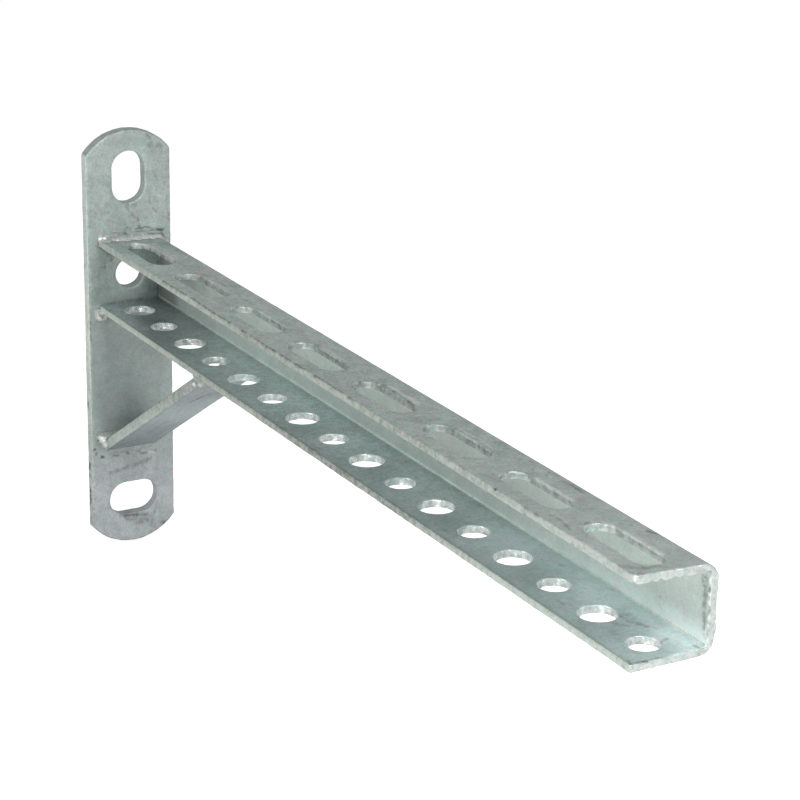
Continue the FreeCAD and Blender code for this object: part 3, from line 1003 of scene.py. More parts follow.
# On the top flange: distance along the arm from the wall, and in from the lip
TOP_MARKS = (
    # under the bead: painted shadow
    ("dark", 0.8, 0.6, (10.6, 6), (10.4, 17), (10.2, 27)),
    # far rims and tips of the oblong holes, from the wall outwards; the pale lines on the far rims are
    # painted highlights
    ("pale", 0.9, 0.5, (17.5, 19.4), (29.4, 19.9), (42.4, 19.4)),
    ("pale", 0.9, 0.7, (21, 18.1), (44, 18.1)),
    ("pale", 2.2, 0.35, (80.1, 18.3), (93.7, 18)),
    ("dark", 0.55, 0.6, (79.4, 20.9), (87, 20.8)),
    ("dark", 1.6, 0.4, (90.9, 14.1), (98, 12.9)),
    ("pale", 1.1, 0.45, (121.7, 18.2), (145.5, 17.8)),
    ("pale", 1.0, 0.6, (193.2, 17.6), (193.7, 19)),
    ("dark", 0.65, 0.9, (221.9, 18.2), (223.5, 19.1)),
    ("dark", 0.65, 0.9, (226.6, 18.2), (228.1, 18.5)),
    ("dark", 0.65, 0.9, (230.2, 18.2), (231.7, 18.5)),
    ("dark", 0.8, 0.7, (233.5, 18.1), (242.8, 17.9)),
    ("pale", 1.8, 0.75, (222, 19.7), (230, 20), (242.6, 19.6)),
    ("pale", 0.9, 0.55, (271, 19.4), (281.1, 20.1), (291.9, 20.2)),
    ("pale", 0.9, 0.55, (320.3, 18.6), (335, 18.4), (344.8, 18.4)),
    ("dark", 2.2, 0.5, (362.6, 8.9), (362.7, 11.4)),
    ("pale", 1.1, 0.7, (363.6, 16.1), (366, 17.5), (368.1, 18.3)),
    ("pale", 1.2, 0.4, (369.1, 18.6), (380.8, 18.7), (393.2, 18.8)),
    ("pale", 1.0, 0.45, (72, 18.7), (91, 18.6)),
    ("pale", 1.5, 0.6, (171, 19), (191, 19)),
    # painted highlights on their far arrises
    ("pale", 0.8, 0.5, (72, 18), (90, 18)),
    ("pale", 0.8, 0.5, (122, 18), (140, 18)),
    ("pale", 0.8, 0.4, (172, 18), (188, 18)),
    ("pale", 0.8, 0.5, (272, 18), (284, 18)),
    ("pale", 1.0, 0.7, (320, 18), (343, 18)),
    ("pale", 0.8, 0.6, (370, 18), (394, 18)),
    # scratches and spots on the strips beside them
    ("pale", 3.5, 0.3, (26, 21.5), (44, 22.5)),
    ("pale", 7.0, 0.15, (50, 8), (66, 13)),
    ("dark", 1.4, 0.5, (106.8, 19.3)),
    ("pale", 1.4, 0.35, (154.3, 19.4)),
    ("dark", 0.7, 0.4, (224, 3.8), (224.6, 5.5)),
    ("dark", 0.7, 0.4, (228.3, 5.9)),
    ("dark", 0.6, 0.4, (295.9, 5.9), (299, 6)),
    ("dark", 1.4, 0.7, (290, 26.5)),
    ("dark", 0.7, 0.35, (313.8, 20.3), (315.3, 24)),
    ("dark", 0.7, 0.35, (320.8, 22.4), (322.5, 27.1)),
    ("dark", 1.6, 0.4, (327.4, 24), (330.9, 25.5), (334.8, 25.3), (339.5, 24.9)),
    ("dark", 1.4, 0.45, (318.7, 25), (323.1, 26)),
    ("dark", 0.8, 0.4, (366.4, 20.9), (370, 23)),
    ("dark", 1.4, 0.6, (375.3, 25), (378.6, 26.4)),
    ("dark", 1.0, 0.45, (352.5, 4), (357.3, 4.6), (365.7, 2.8)),
    ("dark", 2.4, 0.35, (396.3, 0.6), (400.6, 4.9), (400.3, 10.5), (402.1, 12.9)),
    ("dark", 1.6, 0.4, (401.8, 0.4), (404.4, 3.6)),
)

# Round the inner tips of its holes: from the tip along the arm and towards the web, each with its side
# of the sheet and the first hole that has it
TIP_MARKS = (
    ("dark", 1.8, 0.7, 0, 1, (0.5, 0), (2, -3)),
    ("dark", 4.0, 0.3, 0, 1, (2, -3), (6, -5.8)),
    ("dark", 0.8, 0.4, 1, 0, (5, -5.75), (33, -5.75)),
)

# Ragged lines on the far walls of its holes, at this depth: distance from the wall
SLOT_MARK_DEPTH = 0.95 * MM
SLOT_MARKS = (
    ("dark", 0.95, 0.6, (132.2, 17.85), (139.2, 17.85)),
    ("dark", 0.95, 0.5, (175, 17.85), (188, 17.85)),
    ("dark", 0.95, 0.5, (279.3, 17.85), (288.9, 17.85)),
    ("dark", 1.0, 0.8, (288.8, 17.85), (292.8, 17.85)),
    ("dark", 0.95, 0.3, (334, 17.85), (342, 17.85)),
    ("dark", 1.0, 0.4, (376, 17.85), (391.9, 17.85)),
)

# Along the upper edge of the top flange's lip: distance from the wall
UPPER_LIP_MARKS = (
    ("dark", 1.1, 0.65, (71.1, 0.4), (78.8, 0), (92, 0.3)),
    ("dark", 1.1, 0.65, (96.6, 0.4), (117.5, 0), (131.7, 0.5)),
    ("dark", 1.0, 0.75, (141.2, 0.3), (145.5, 0)),
    ("dark", 1.1, 0.65, (154, 0.2), (159.8, 0), (170.5, 0)),
    ("dark", 1.1, 0.65, (173, 0), (182.7, 0.2)),
    ("dark", 1.0, 0.75, (184.3, 0), (193.8, 0.2)),
    ("dark", 1.1, 0.65, (201.6, 0.4), (213.8, 0.2)),
    ("dark", 1.1, 0.65, (215.3, 0.2), (222.1, 0.3)),
    ("dark", 1.0, 0.75, (227.3, 0.2), (230.2, 0)),
    ("pale", 1.3, 0.8, (315, 0.2)),
    ("dark", 1.7, 1.0, (325.8, 0.2)),
    ("dark", 2.0, 0.9, (344.5, 0.1)),
    ("dark", 1.2, 0.6, (345.4, 0), (351.9, 0)),
    ("pale", 1.3, 0.8, (359.3, 0)),
    ("pale", 1.6, 0.7, (370, 0), (376.8, 0), (382.2, 0), (388.7, 0)),
    ("pale", 1.4, 1.0, (404.6, 0)),
)

# Along the lower edge of the same lip
UNDER_LIP_MARKS = (
    ("pale", 1.2, 0.7, (325, 0), (344.2, 0)),
    ("dark", 2.0, 0.9, (344.5, 0)),
    ("dark", 1.3, 0.6, (345.4, 0), (351.9, 0)),
    ("dark", 1.5, 0.5, (370.8, 0), (371.9, 0)),
    ("pale", 1.2, 0.9, (376.8, 0)),
    ("pale", 1.2, 0.9, (381.2, 0), (382.3, 0)),
    ("dark", 1.3, 0.4, (388.9, 0)),
    ("dark", 1.6, 0.8, (404.6, 0)),
    ("lump", 2.2, 0.8, (404.2, 2.6), (404.3, 4)),
    ("lump", 1.8, 0.8, (404.4, 8.3)),
    ("lump", 2.4, 0.9, (404.2, 11.6), (404.2, 13.4)),
    ("lump", 1.8, 0.8, (404.4, 17)),
    ("lump", 2.6, 0.9, (404.1, 20.8), (404.3, 22.6)),
    ("lump", 1.8, 0.8, (404.3, 25.8)),
)

# On the bottom flange inside: distance from the wall, and in from the lip
FLOOR_MARKS = (
    ("dark", 1.0, 0.3, (47.1, 4.2), (58.1, 3.5)),
    ("dark", 2.0, 0.3, (288.5, 4.7), (293.9, 4.8)),
    ("dark", 1.6, 0.35, (331.3, 23.1), (332.6, 23.8)),
    ("pale", 1.0, 0.4, (348, 5.3)),
    ("dark", 1.3, 0.4, (355.6, 6.4), (357.4, 6.7)),
    ("pale", 1.0, 0.4, (372.5, 17.4)),
    ("dark", 4.0, 0.3, (371.4, 19.8), (376.4, 19.5)),
    ("dark", 2.4, 0.45, (373, 17.2), (378.7, 18.5), (383.8, 20.2)),
    ("dark", 2.0, 0.3, (376.6, 12.2), (381, 15.9)),
    ("dark", 1.6, 0.45, (382.3, 9.2), (384.2, 8.7)),
    ("dark", 1.3, 0.5, (395.6, 17.5), (394.4, 20.9)),
    ("dark", 1.0, 0.55, (404.2, 1.2), (404, 4.1), (403.9, 5.6), (404.4, 6.1), (404.5, 8.5), (404.6, 13.2)),
    ("dark", 1.4, 0.95, (404.2, 5.4), (404.3, 6.1)),
    ("dark", 1.0, 0.6, (401.8, 1.4), (404.1, 0.7)),
    ("dark", 1.8, 0.4, (402.4, 25.6), (404.6, 26)),
)

# On the web inside: distance from the wall, and height
WEB_MARKS = (
    ("dark", 3.0, 0.55, (401.6, 39.2), (402.2, 35.7), (402.1, 32.3)),
    ("dark", 1.8, 0.5, (401.8, 32.1), (402.2, 28.3), (402.7, 23.2)),
    ("pale", 3.2, 0.25, (374.2, 21.2), (380.8, 20.4)),
    ("pale", 2.6, 0.8, (403.1, 20.8), (403.7, 20.4)),
    ("lump", 1.8, 0.8, (404.2, 39.4), (404.3, 38.2)),
    ("lump", 1.6, 0.8, (404.3, 35)),
    ("lump", 2.0, 0.9, (404.2, 32.2), (404.3, 31.2)),
    ("lump", 1.5, 0.7, (404.4, 27.4)),
    ("lump", 2.0, 0.8, (404.2, 24.4)),
    ("lump", 1.6, 0.8, (404.3, 19.4)),
    ("dark", 1.0, 0.7, (404.7, 37.5), (404.5, 36.2)),
    ("dark", 1.0, 0.7, (404.7, 33.6)),
    ("dark", 1.0, 0.7, (404.8, 30.3), (404.6, 28.8)),
    ("dark", 1.0, 0.7, (404.6, 25.7)),
    ("dark", 1.0, 0.7, (404.8, 23), (404.6, 21.8)),
    ("dark", 1.4, 0.3, (371.5, 21.8)),
    ("dark", 1.4, 0.3, (379.4, 24.2)),
)


class STRUTARM_OT_arm_channel(bpy.types.Operator):
    """Build the folded channel with its punched flanges"""
    bl_idname = "strut_arm.arm_channel"
    bl_label = "Arm channel"

    def execute(self, context):
        sizes = context.scene.strut_arm.arm
        look = context.scene.strut_arm.zinc
        long = ARM_HIGH.x - ARM_LOW.x
        stretches, low_hub, _ = channel_section(sizes)
        girth = sum(stretches)
        flange, web_start = stretches[0], stretches[0] + stretches[1]
        rims = [Rim(rounded_outline(long, girth, CHANNEL_CORNER), sizes.soft_edge, CHANNEL_CUT)]
        tips = []
        for along in row_of(sizes.slot_first, sizes.slot_pitch, sizes.slot_length / 2, long):
            # The first slot's walls get painted light and the others painted shade, through each rim's light
            cut, light = (SLOT_CUT, 0.92) if tips else (FIRST_SLOT_CUT, 1.1)
            tips.append(Vector((along - sizes.slot_length / 2, girth - sizes.slot_row, 0)))
            points = oblong_rim(Vector((along, girth - sizes.slot_row)), sizes.slot_length, sizes.slot_width)
            rims.append(Rim(points, 0.6 * sizes.soft_edge, cut, light))
        holes = row_of(sizes.hole_first, sizes.hole_pitch, sizes.hole_large / 2, long)
        for number, along in enumerate(holes):
            wide = sizes.hole_small if number % 2 else sizes.hole_large
            points = oblong_rim(Vector((along, sizes.hole_row)), wide, wide)
            taper = sizes.punch_narrows, sizes.punch_shifts
            rims.append(Rim(points, 0.6 * sizes.soft_edge, ROUND_HOLE_CUT, 1.0, *taper))
        spacing = SHEET_GRID
        grid = staggered(spread(0, long, spacing), channel_rows(stretches, spacing))

        def from_wall(run):
            """Turns a distance from the wall and another one into a place on the flat sheet."""
            return lambda along, other: (along - ARM_LOW.x, run(other))

        from_lip = from_wall(lambda inward: girth - inward)
        marks = flat_marks(TOP_MARKS + UPPER_LIP_MARKS, 0, from_lip)
        for kind, wide, strength, side, first_hole, *line in TIP_MARKS:
            marks += [(kind, wide * MM, strength, [tip + Vector((x * MM, y * MM, side)) for x, y in line])
                      for tip in tips[first_hole:]]
        marks += flat_marks(SLOT_MARKS, SLOT_MARK_DEPTH, from_lip)
        marks += flat_marks(UNDER_LIP_MARKS, 1, from_lip)
        marks += flat_marks(FLOOR_MARKS, 1, from_wall(lambda inward: inward))
        marks += flat_marks(WEB_MARKS, 1, from_wall(lambda up: web_start + up - low_hub.y))

        crease = flange + stretches[1] / 2

        def tone(spot):
            """Each face has its own tone, mostly painted light and shade, and a painted highlight runs as a
            line in the lower crease.
            """
            along, up = spot.x, spot.y - crease
            # The free end's cut: painted light
            if along > long - ON_CUT:
                light = END_CUT_LIGHT[0] if spot.y > girth - flange else END_CUT_LIGHT[1]
                return light, light, light, 1.0
            # Lips: painted light and shade along the arm, with their own hue
            if min(spot.y, girth - spot.y) < ON_CUT:
                light = stops(along, LOW_LIP_LIGHT if up < 0 else HIGH_LIP_LIGHT)
                return stops(along, LIP_RED) * light, light, stops(along, LIP_BLUE) * light, 0.8
            depth = depth_of(spot, sizes.wall)
            # Walls of the oblong holes: painted light and shade by depth
            if spot.y > girth - flange and 0 < depth < sizes.wall:
                light = stops(depth, SLOT_LIGHT) * stops(along, SLOT_ROW_LIGHT)
                if along < sizes.slot_first + sizes.slot_length / 2:
                    light = stops(depth, FIRST_SLOT_LIGHT)
                return light, light, light, 1.0
            # Top flange: painted light and shade along the arm
            if spot.z < 0.5:
                light = stops(along, TOP_LIGHT)
                return light, light, light, stops(along, TOP_GRAIN)
            # Painted highlight along the lower crease
            if CREASE_LOW < up < CREASE_HIGH:
                light = stops(along, CREASE_HIGHLIGHT)
                return 1.04 * light, 1.04 * light, light, 0.6
            # Bottom flange: painted light and shade
            if up < 0:
                near = stops(spot.y, FIRST_FLOOR_LIGHT), stops(spot.y, NEXT_FLOOR_LIGHT)
                light = stops(along, FLOOR_LIGHT) * stops(-up, FLOOR_FROM_WEB_LIGHT)
                light *= stops(along, ((14, near[0]), (30, near[1]), (50, 1.0)))
                light *= stops(spot.y, LIP_SHADE) * local_light(-up, along, *FLOOR_GLOW)
                return 0.98 * light, light, stops(along, FLOOR_BLUE) * light, stops(along, FLOOR_GRAIN)
            # Web: painted light and shade along the arm and by height
            light = stops(along, WEB_LIGHT) * stops(up, WEB_UP_LIGHT)
            for shade in WEB_SHADES:
                light *= local_light(up, along, *shade)
            return 1.04 * light, light, stops(up, WEB_BLUE) * light, 0.4

        def wild(place):
            """The free end is cut more roughly than the lips."""
            return 4.0 if place.x > ARM_HIGH.x - 1 * MM else 0.9

        made = sheet("channel_zinced", rims, grid, spacing, sizes.wall, channel_place(sizes), marks)
        material = zinc_material(
            "Zinc on channel", look.channel, look, cloud=0.06, mottle=0.11, grain=0.12, bump=0.5)
        zinced(made, marks, tone, CHANNEL_SKIN, "arm_channel", material, wild)
        return {"FINISHED"}


# Brace


# On its lower face: distance up the bar, and across from its open edge
BRACE_MARKS = (
    ("dark", 3.5, 0.3, (5.5, 1.5), (15.7, 8.6)),
    ("dark", 1.4, 0.4, (1, 3.3), (2, 10.6)),
    ("dark", 1.2, 0.3, (29.1, 10.7), (50.4, 11)),
    ("pale", 1.4, 0.3, (15, 20.6), (43.7, 21.4)),
    ("dark", 2.0, 0.6, (82.5, 9), (91, 11.5), (96.1, 16.6)),
    ("dark", 2.4, 0.55, (90.7, 14.8), (91.4, 19)),
    ("dark", 1.2, 0.5, (60, 1.1), (68, 0.9)),
    ("dark", 1.6, 0.5, (84.8, 0.8)),
)

# Along its open side, on the border to the lower face
BRACE_LOW_SIDE_MARKS = (
    ("dark", 0.8, 0.3, (14, 0), (22, 0)),
    ("dark", 0.9, 0.35, (31, 0), (33, 0)),
    ("dark", 0.8, 0.3, (41, 0), (48, 0)),
    ("dark", 0.9, 0.35, (57, 0), (60, 0)),
    ("dark", 0.8, 0.3, (71, 0), (80, 0)),
    ("dark", 1.0, 0.35, (93, 0), (99, 0)),
)

# And on the border to the upper face
BRACE_HIGH_SIDE_MARKS = (
    ("pale", 1.0, 0.5, (8, 0), (30, 0)),
    ("dark", 0.9, 0.6, (27, 0), (28, 0)),
    ("dark", 0.8, 0.4, (35, 0), (41, 0)),
    ("dark", 0.9, 0.5, (46, 0), (47, 0)),
    ("pale", 1.0, 0.4, (49, 0), (60, 0)),
    ("dark", 0.9, 0.35, (62, 0), (66, 0)),
    ("dark", 1.0, 0.45, (72, 0), (77, 0)),
    ("dark", 1.0, 0.45, (88, 0), (94, 0)),
    ("dark", 1.2, 0.5, (80, 0), (84, 0)),
)

# Its painted light and shade by distance up the bar: lower face, and open side
BRACE_LIGHT = (
    (10, 0.86), (27, 0.88), (38, 0.98), (50, 1.18), (62, 1.2), (75, 1.13), (92, 0.94), (110, 0.87),
)
BRACE_SIDE_LIGHT = ((20, 1.36), (55, 1.33), (75, 1.12), (92, 0.88))


class STRUTARM_OT_brace_bar(bpy.types.Operator):
    """Build the mitred flat bar under the arm"""
    bl_idname = "strut_arm.brace_bar"
    bl_label = "Brace bar"

    def execute(self, context):
        sizes = context.scene.strut_arm.brace
        look = context.scene.strut_arm.zinc
        size = BRACE_HIGH - BRACE_LOW
        slope = math.atan2(size.z, size.x)
        foot_cut = Vector((0, sizes.thick / math.cos(slope)))
        head_cut = Vector((sizes.thick / math.sin(slope), 0))
        foot = Vector((BRACE_LOW.x, BRACE_LOW.z))
        head = Vector((BRACE_HIGH.x, BRACE_HIGH.z))
        long = (head - foot).length
        spacing = BRACE_GRID
        rims = [Rim(rounded_outline(long, size.y, BRACE_CORNER), sizes.soft_edge, BRACE_CUT)]
        grid = staggered(spread(0, long, spacing), spread(0, size.y, spacing))

        def place(along, across, depth):
            """The bar's lower face comes first, and both mitres follow from the two faces' ends."""
            lower = foot.lerp(head, along / long)
            upper = (foot + foot_cut).lerp(head - head_cut, along / long)
            point = lower.lerp(upper, depth / sizes.thick)
            return Vector((point.x, BRACE_LOW.y + across, point.y))

        def tone(spot):
            """The open side is yellower, the lower face bluer, and both carry painted light and shade along
            the bar.
            """
            if spot.y < ON_SIDE:
                light = stops(spot.x, BRACE_SIDE_LIGHT)
                return 1.02 * light, 1.01 * light, 0.94 * light, 0.95
            light = stops(spot.x, BRACE_LIGHT)
            return light, light, 1.04 * light, 0.8

        marks = flat_marks(BRACE_MARKS + BRACE_LOW_SIDE_MARKS, 0) + flat_marks(BRACE_HIGH_SIDE_MARKS, 1)
        made = sheet("brace_zinced", rims, grid, spacing, sizes.thick, place, marks)
        material = zinc_material(
            "Zinc on brace", look.brace, look, cloud=0.08, mottle=0.1, grain=0.12, bump=0.5)
        zinced(made, marks, tone, BRACE_SKIN, "brace_bar", material)
        return {"FINISHED"}


# Weld beads: each is a list of stations, and a station holds its corner and, for each of the
# two faces that it joins, the way along that face and the bead's leg on it


# Steps across a bead's face; how much its toes waver, and the wave lengths of the two toes; how far its
# ends taper; and how far each ripple bows back in its middle
BEAD_PARTS = 12
TOE_WAVER = 0.16
ONE_TOE_WAVE = 3.2 * MM
OTHER_TOE_WAVE = 2.7 * MM
END_TAPER = 1.6 * MM
RIPPLE_BOW = 1.1 * MM


def bead_tube(work, stations, sizes, seed):
    """Rippled bead through its stations, as a closed tube with rounded ends."""
    travelled = 0.0
    total = sum((two[0] - one[0]).length for one, two in zip(stations, stations[1:]))
    rings = []
    for number, (corner, one_way, one_leg, other_way, other_leg) in enumerate(stations):
        if number:
            travelled += (corner - stations[number - 1][0]).length
        wander = noise.noise(Vector((travelled / ONE_TOE_WAVE, seed, 0.3)))
        other_wander = noise.noise(Vector((travelled / OTHER_TOE_WAVE, 5.1, seed)))
        end = min(travelled, total - travelled) / END_TAPER
        fade = math.sqrt(max(0.05, 1 - (1 - min(end, 1.0)) ** 2))
        one_toe = corner + one_way * one_leg * fade * (1 + TOE_WAVER * wander)
        other_toe = corner + other_way * other_leg * fade * (1 + TOE_WAVER * other_wander)
        facing = (one_way + other_way).normalized()
        ring = [corner - facing * sizes.root]
        for step in range(BEAD_PARTS + 1):
            part = step / BEAD_PARTS
            bow = 4 * part * (1 - part)
            phase = (travelled - RIPPLE_BOW * bow) / sizes.ripple_pitch + 0.35 * wander
            ripple = sizes.ripple_depth * (1 - 2 * (phase % 1.0)) * (0.4 + 0.6 * bow)
            ring.append(one_toe.lerp(other_toe, part) + facing * fade * (sizes.swell * bow + ripple))
        rings.append([work.verts.new(point) for point in ring])
    count = BEAD_PARTS + 2
    for one, two in zip(rings, rings[1:]):
        for step in range(count):
            work.faces.new([one[step], one[(step + 1) % count], two[(step + 1) % count], two[step]])
    work.faces.new(list(reversed(rings[0])))
    work.faces.new(rings[-1])


def bead_blob(work, middle, radius, seed):
    """Uneven ball of weld metal where a bead was started."""
    made = bmesh.ops.create_icosphere(work, subdivisions=4, radius=radius)
    for vertex in made["verts"]:
        way = vertex.co.normalized()
        broad = 0.16 * noise.noise(way * 1.3 + Vector((seed, 0, 0)))
        small = 0.06 * noise.noise(way * 4.0 + Vector((0, seed, 0)))
        vertex.co *= 1 + broad + small
        vertex.co += middle


def weld_bead(name, node, runs, blobs, settings, seed, marks=()):
    """Fuses a bead's runs and its blobs into one skin, zinced as one piece, in its node's place."""
    sizes = settings.weld
    work = bmesh.new()
    for number, stations in enumerate(runs):
        bead_tube(work, stations, sizes, seed + 0.5 * number)
    for number, (middle, radius) in enumerate(blobs):
        bead_blob(work, middle, radius, seed + number)
    bmesh.ops.recalc_face_normals(work, faces=work.faces)
    mesh = bpy.data.meshes.new(name)
    work.to_mesh(mesh)
    work.free()
    piece = finished(name, mesh)
    fuse = piece.modifiers.new("fuse", "REMESH")
    fuse.mode = "VOXEL"
    fuse.voxel_size = sizes.grain
    relax = piece.modifiers.new("relax", "SMOOTH")
    relax.factor = 0.4
    relax.iterations = 2
    bpy.context.view_layer.update()
    fused = bpy.data.meshes.new_from_object(piece.evaluated_get(bpy.context.evaluated_depsgraph_get()))
    piece.modifiers.clear()
    piece.data = fused
    fused.name = name
    fused.polygons.foreach_set("use_smooth", [True] * len(fused.polygons))
    places = [vertex.co.copy() for vertex in fused.vertices]
    # Balls of weld get a rim value, which gives them glitter, a painted highlight
    shine = [0.0] * len(places)
    for number, (middle, radius) in reversed(list(enumerate(blobs))):
        for index, spot in enumerate(places):
            if (spot - middle).length < 1.12 * radius:
                shine[index] = BALL_SHINE if number else FIRST_BALL_SHINE
    fused.attributes.new("rim", "FLOAT", "POINT").data.foreach_set("value", shine)
    lines = [(kind, wide * MM, strength, [Vector(point) * MM for point in line])
             for kind, wide, strength, *line in marks]
    look = settings.zinc
    material = bpy.data.materials.get("Zinc on welds")
    material = material or zinc_material(
        "Zinc on welds", look.weld, look, cloud=0.08, mottle=0.12, grain=0.08, bump=0.6)
    zinced((piece, places), lines, None, WELD_SKIN, node, material)


BEAD_STEP = 0.25 * MM
OUT, SIDE, UP = Vector((1, 0, 0)), Vector((0, 1, 0)), Vector((0, 0, 1))


def straight_stations(start, end, one, one_leg, other, other_leg):
    """Stations along a straight corner, without the last one."""
    count = max(2, round((end - start).length / BEAD_STEP))
    return [(start.lerp(end, number / count), one, one_leg, other, other_leg) for number in range(count)]


def bent_stations(hub, radius, start, end, legs):
    """Stations round one of the channel's folds, against the plate; the first way leaves the fold."""
    count = max(2, round(abs(end - start) * radius / BEAD_STEP))
    stations = []
    for number in range(count + 1):
        turn = start + (end - start) * number / count
        way = Vector((0, math.cos(turn), math.sin(turn)))
        corner = Vector((ARM_LOW.x, hub.x + radius * way.y, hub.y + radius * way.z))
        stations.append((corner, way, legs[0], OUT, legs[1]))
    return stations


def balls_at(corner, along, up, table):
    """Balls of a table, each as its steps out, along and up from a corner, and its radius."""
    return [(corner + along * far * MM + OUT * out * MM + up * high * MM, radius * MM)
            for out, far, high, radius in table]


# Legs of the arm's beads on the plate and on the arm, and how far a bead starts before its lip
TOP_LEGS = (2.7 * MM, 4.7 * MM)
WEB_LEGS = (2.4 * MM, 2.4 * MM)
BOTTOM_LEGS = (4.0 * MM, 3.6 * MM)
LIP_LEAD = 0.2 * MM
# Of the brace's foot: legs on the plate and on the bar, and how far the beads run over or stay short
FOOT_UPPER_LEGS = (4.0 * MM, 4.2 * MM)
FOOT_LOWER_LEG = 2.0 * MM
FOOT_OVERRUN = 1.8 * MM
FOOT_SET_IN = 1.5 * MM
# Of its head: the inner bead, and the run along the open side
HEAD_LEG = 2.6 * MM
HEAD_OVERRUN = 1.0 * MM
HEAD_SIDE_LEGS = (2.5 * MM, 0.9 * MM)
HEAD_SIDE_LEAD = 1.4 * MM
# Balls where the beads were started: steps out from the plate, along the bead and up, and radius
TOP_BALLS = ((0.9, -1.9, 0.7, 2.3),)
BOTTOM_BALLS = ((0.9, 0.3, -1.4, 2.9),)
FOOT_BALLS = ((0.9, -1.6, 1.6, 2.4), (2.4, -0.9, -0.6, 2.1))
HEAD_BALLS = (
    (-8.6, 16.6, -1.6, 2.2),
    (-11.3, 9.3, -0.6, 1.7),
    (-0.6, -0.2, -3.6, 1.2),
    (4.6, -0.1, -2.4, 1.2),
)


# On the beads, as places in the frame; the pale marks are painted highlights
TOP_BEAD_MARKS = (
    ("dark", 1.2, 0.8, (5.2, 3.5, 48.5), (5.2, 7.9, 48.5), (5.4, 11.4, 48.2), (5.6, 15.5, 47.8)),
    ("dark", 1.0, 0.7, (5.2, -2.2, 48.9), (5.2, 0, 49), (5.2, 2, 48.7)),
    ("pale", 1.3, 0.8, (8.6, -9, 47.1), (8.9, 2.9, 46.6), (8.7, 13, 46.2)),
    ("dark", 1.2, 0.7, (5.4, -7, 49), (5.4, -5.3, 49)),
    ("pale", 1.2, 0.9, (6, -6.3, 48.6)),
    ("pale", 1.3, 0.8, (6.7, -10.6, 48.4)),
    ("pale", 1.4, 0.8, (7.7, -0.2, 47.4)),
    ("pale", 1.4, 0.8, (7.6, 4.7, 47.2)),
    ("pale", 1.1, 0.9, (5.8, -1.2, 48.6)),
    ("dark", 1.0, 0.6, (6.5, -5, 48.3), (6.3, -1.2, 48.3)),
    ("dark", 1.0, 0.6, (7.2, 7.7, 47.4), (7.7, 13, 46.8)),
    ("dark", 1.8, 0.7, (7, 14.6, 46.9), (8.5, 14.7, 45.8)),
    ("pale", 1.8, 0.9, (6.6, -15, 49), (7.6, -15, 47.8)),
    ("dark", 1.2, 0.8, (5.2, -16, 47), (5.2, -15, 49.4), (5.3, -12, 50.2)),
)
BOTTOM_BEAD_MARKS = (
    ("pale", 3.0, 0.8, (6, -16.8, 14.4), (7, -16.4, 13.4)),
    ("dark", 1.6, 0.6, (8, -15.4, 14.2), (8.6, -14.6, 13.2)),
    ("dark", 1.6, 0.7, (5.5, -16, 10.5), (8, -14.6, 10.6)),
    ("pale", 1.4, 0.6, (8.5, -14.6, 12.5), (9, -13, 13.5)),
)
FOOT_BEAD_MARKS = (
    ("pale", 1.4, 0.9, (5.4, -17.2, -41.6), (6.4, -17, -41)),
    ("pale", 1.2, 0.8, (5.4, -16.2, -39.8)),
    ("dark", 1.3, 1.0, (6.5, -17, -42.8)),
    ("dark", 1.4, 0.5, (7.6, -16.5, -43.4), (8.8, -15.9, -44.6)),
    ("pale", 3.6, 0.35, (6.5, -14, -41.8), (6.5, -1, -41.8)),
)
HEAD_BEAD_MARKS = (
    ("pale", 1.6, 0.9, (98.5, -14.4, 11.4), (99.8, -14.4, 10.8)),
    ("pale", 1.4, 0.9, (102.6, -14.4, 13), (106.3, -14.4, 12.6)),
    ("dark", 1.1, 0.9, (104.4, -14.5, 12.2)),
)


class STRUTARM_OT_arm_welds(bpy.types.Operator):
    """Lay the three beads that join the channel to the plate"""
    bl_idname = "strut_arm.arm_welds"
    bl_label = "Arm welds"

    def execute(self, context):
        settings = context.scene.strut_arm
        sizes = settings.arm
        outer, lean = sizes.fold_outside, sizes.lean
        _, low_hub, high_hub = channel_section(sizes)
        up = Vector((0, math.sin(lean), math.cos(lean)))
        to_lip = Vector((0, -math.cos(lean), math.sin(lean)))
        top_start = Vector((ARM_LOW.x, high_hub.x, high_hub.y)) + up * outer
        lip = top_start + to_lip * ((top_start.y - ARM_LOW.y) / math.cos(lean))
        stations = straight_stations(lip + to_lip * LIP_LEAD, top_start, up, TOP_LEGS[0], OUT, TOP_LEGS[1])
        stations += bent_stations(high_hub, outer, QUARTER - lean, QUARTER / 2, TOP_LEGS)
        balls = balls_at(lip, to_lip, up, TOP_BALLS)
        weld_bead("top_bead", "weld_arm_top", [stations], balls, settings, 1.0, TOP_BEAD_MARKS)

        stations = bent_stations(high_hub, outer, QUARTER / 2, 0, WEB_LEGS)[:-1]
        start, end = (Vector((ARM_LOW.x, hub.x + outer, hub.y)) for hub in (high_hub, low_hub))
        stations += straight_stations(start, end, SIDE, WEB_LEGS[0], OUT, WEB_LEGS[1])
        stations += bent_stations(low_hub, outer, 0, -QUARTER / 2, WEB_LEGS)
        weld_bead("web_bead", "weld_arm_web", [stations], [], settings, 2.0)

        end = Vector((ARM_LOW.x, low_hub.x, ARM_LOW.z))
        stations = straight_stations(
            ARM_LOW - SIDE * LIP_LEAD, end, -UP, BOTTOM_LEGS[0], OUT, BOTTOM_LEGS[1])
        stations += bent_stations(low_hub, outer, -QUARTER, -QUARTER / 2, BOTTOM_LEGS)
        balls = balls_at(ARM_LOW, SIDE, UP, BOTTOM_BALLS)
        weld_bead("bottom_bead", "weld_arm_bottom", [stations], balls, settings, 3.0, BOTTOM_BEAD_MARKS)
        return {"FINISHED"}


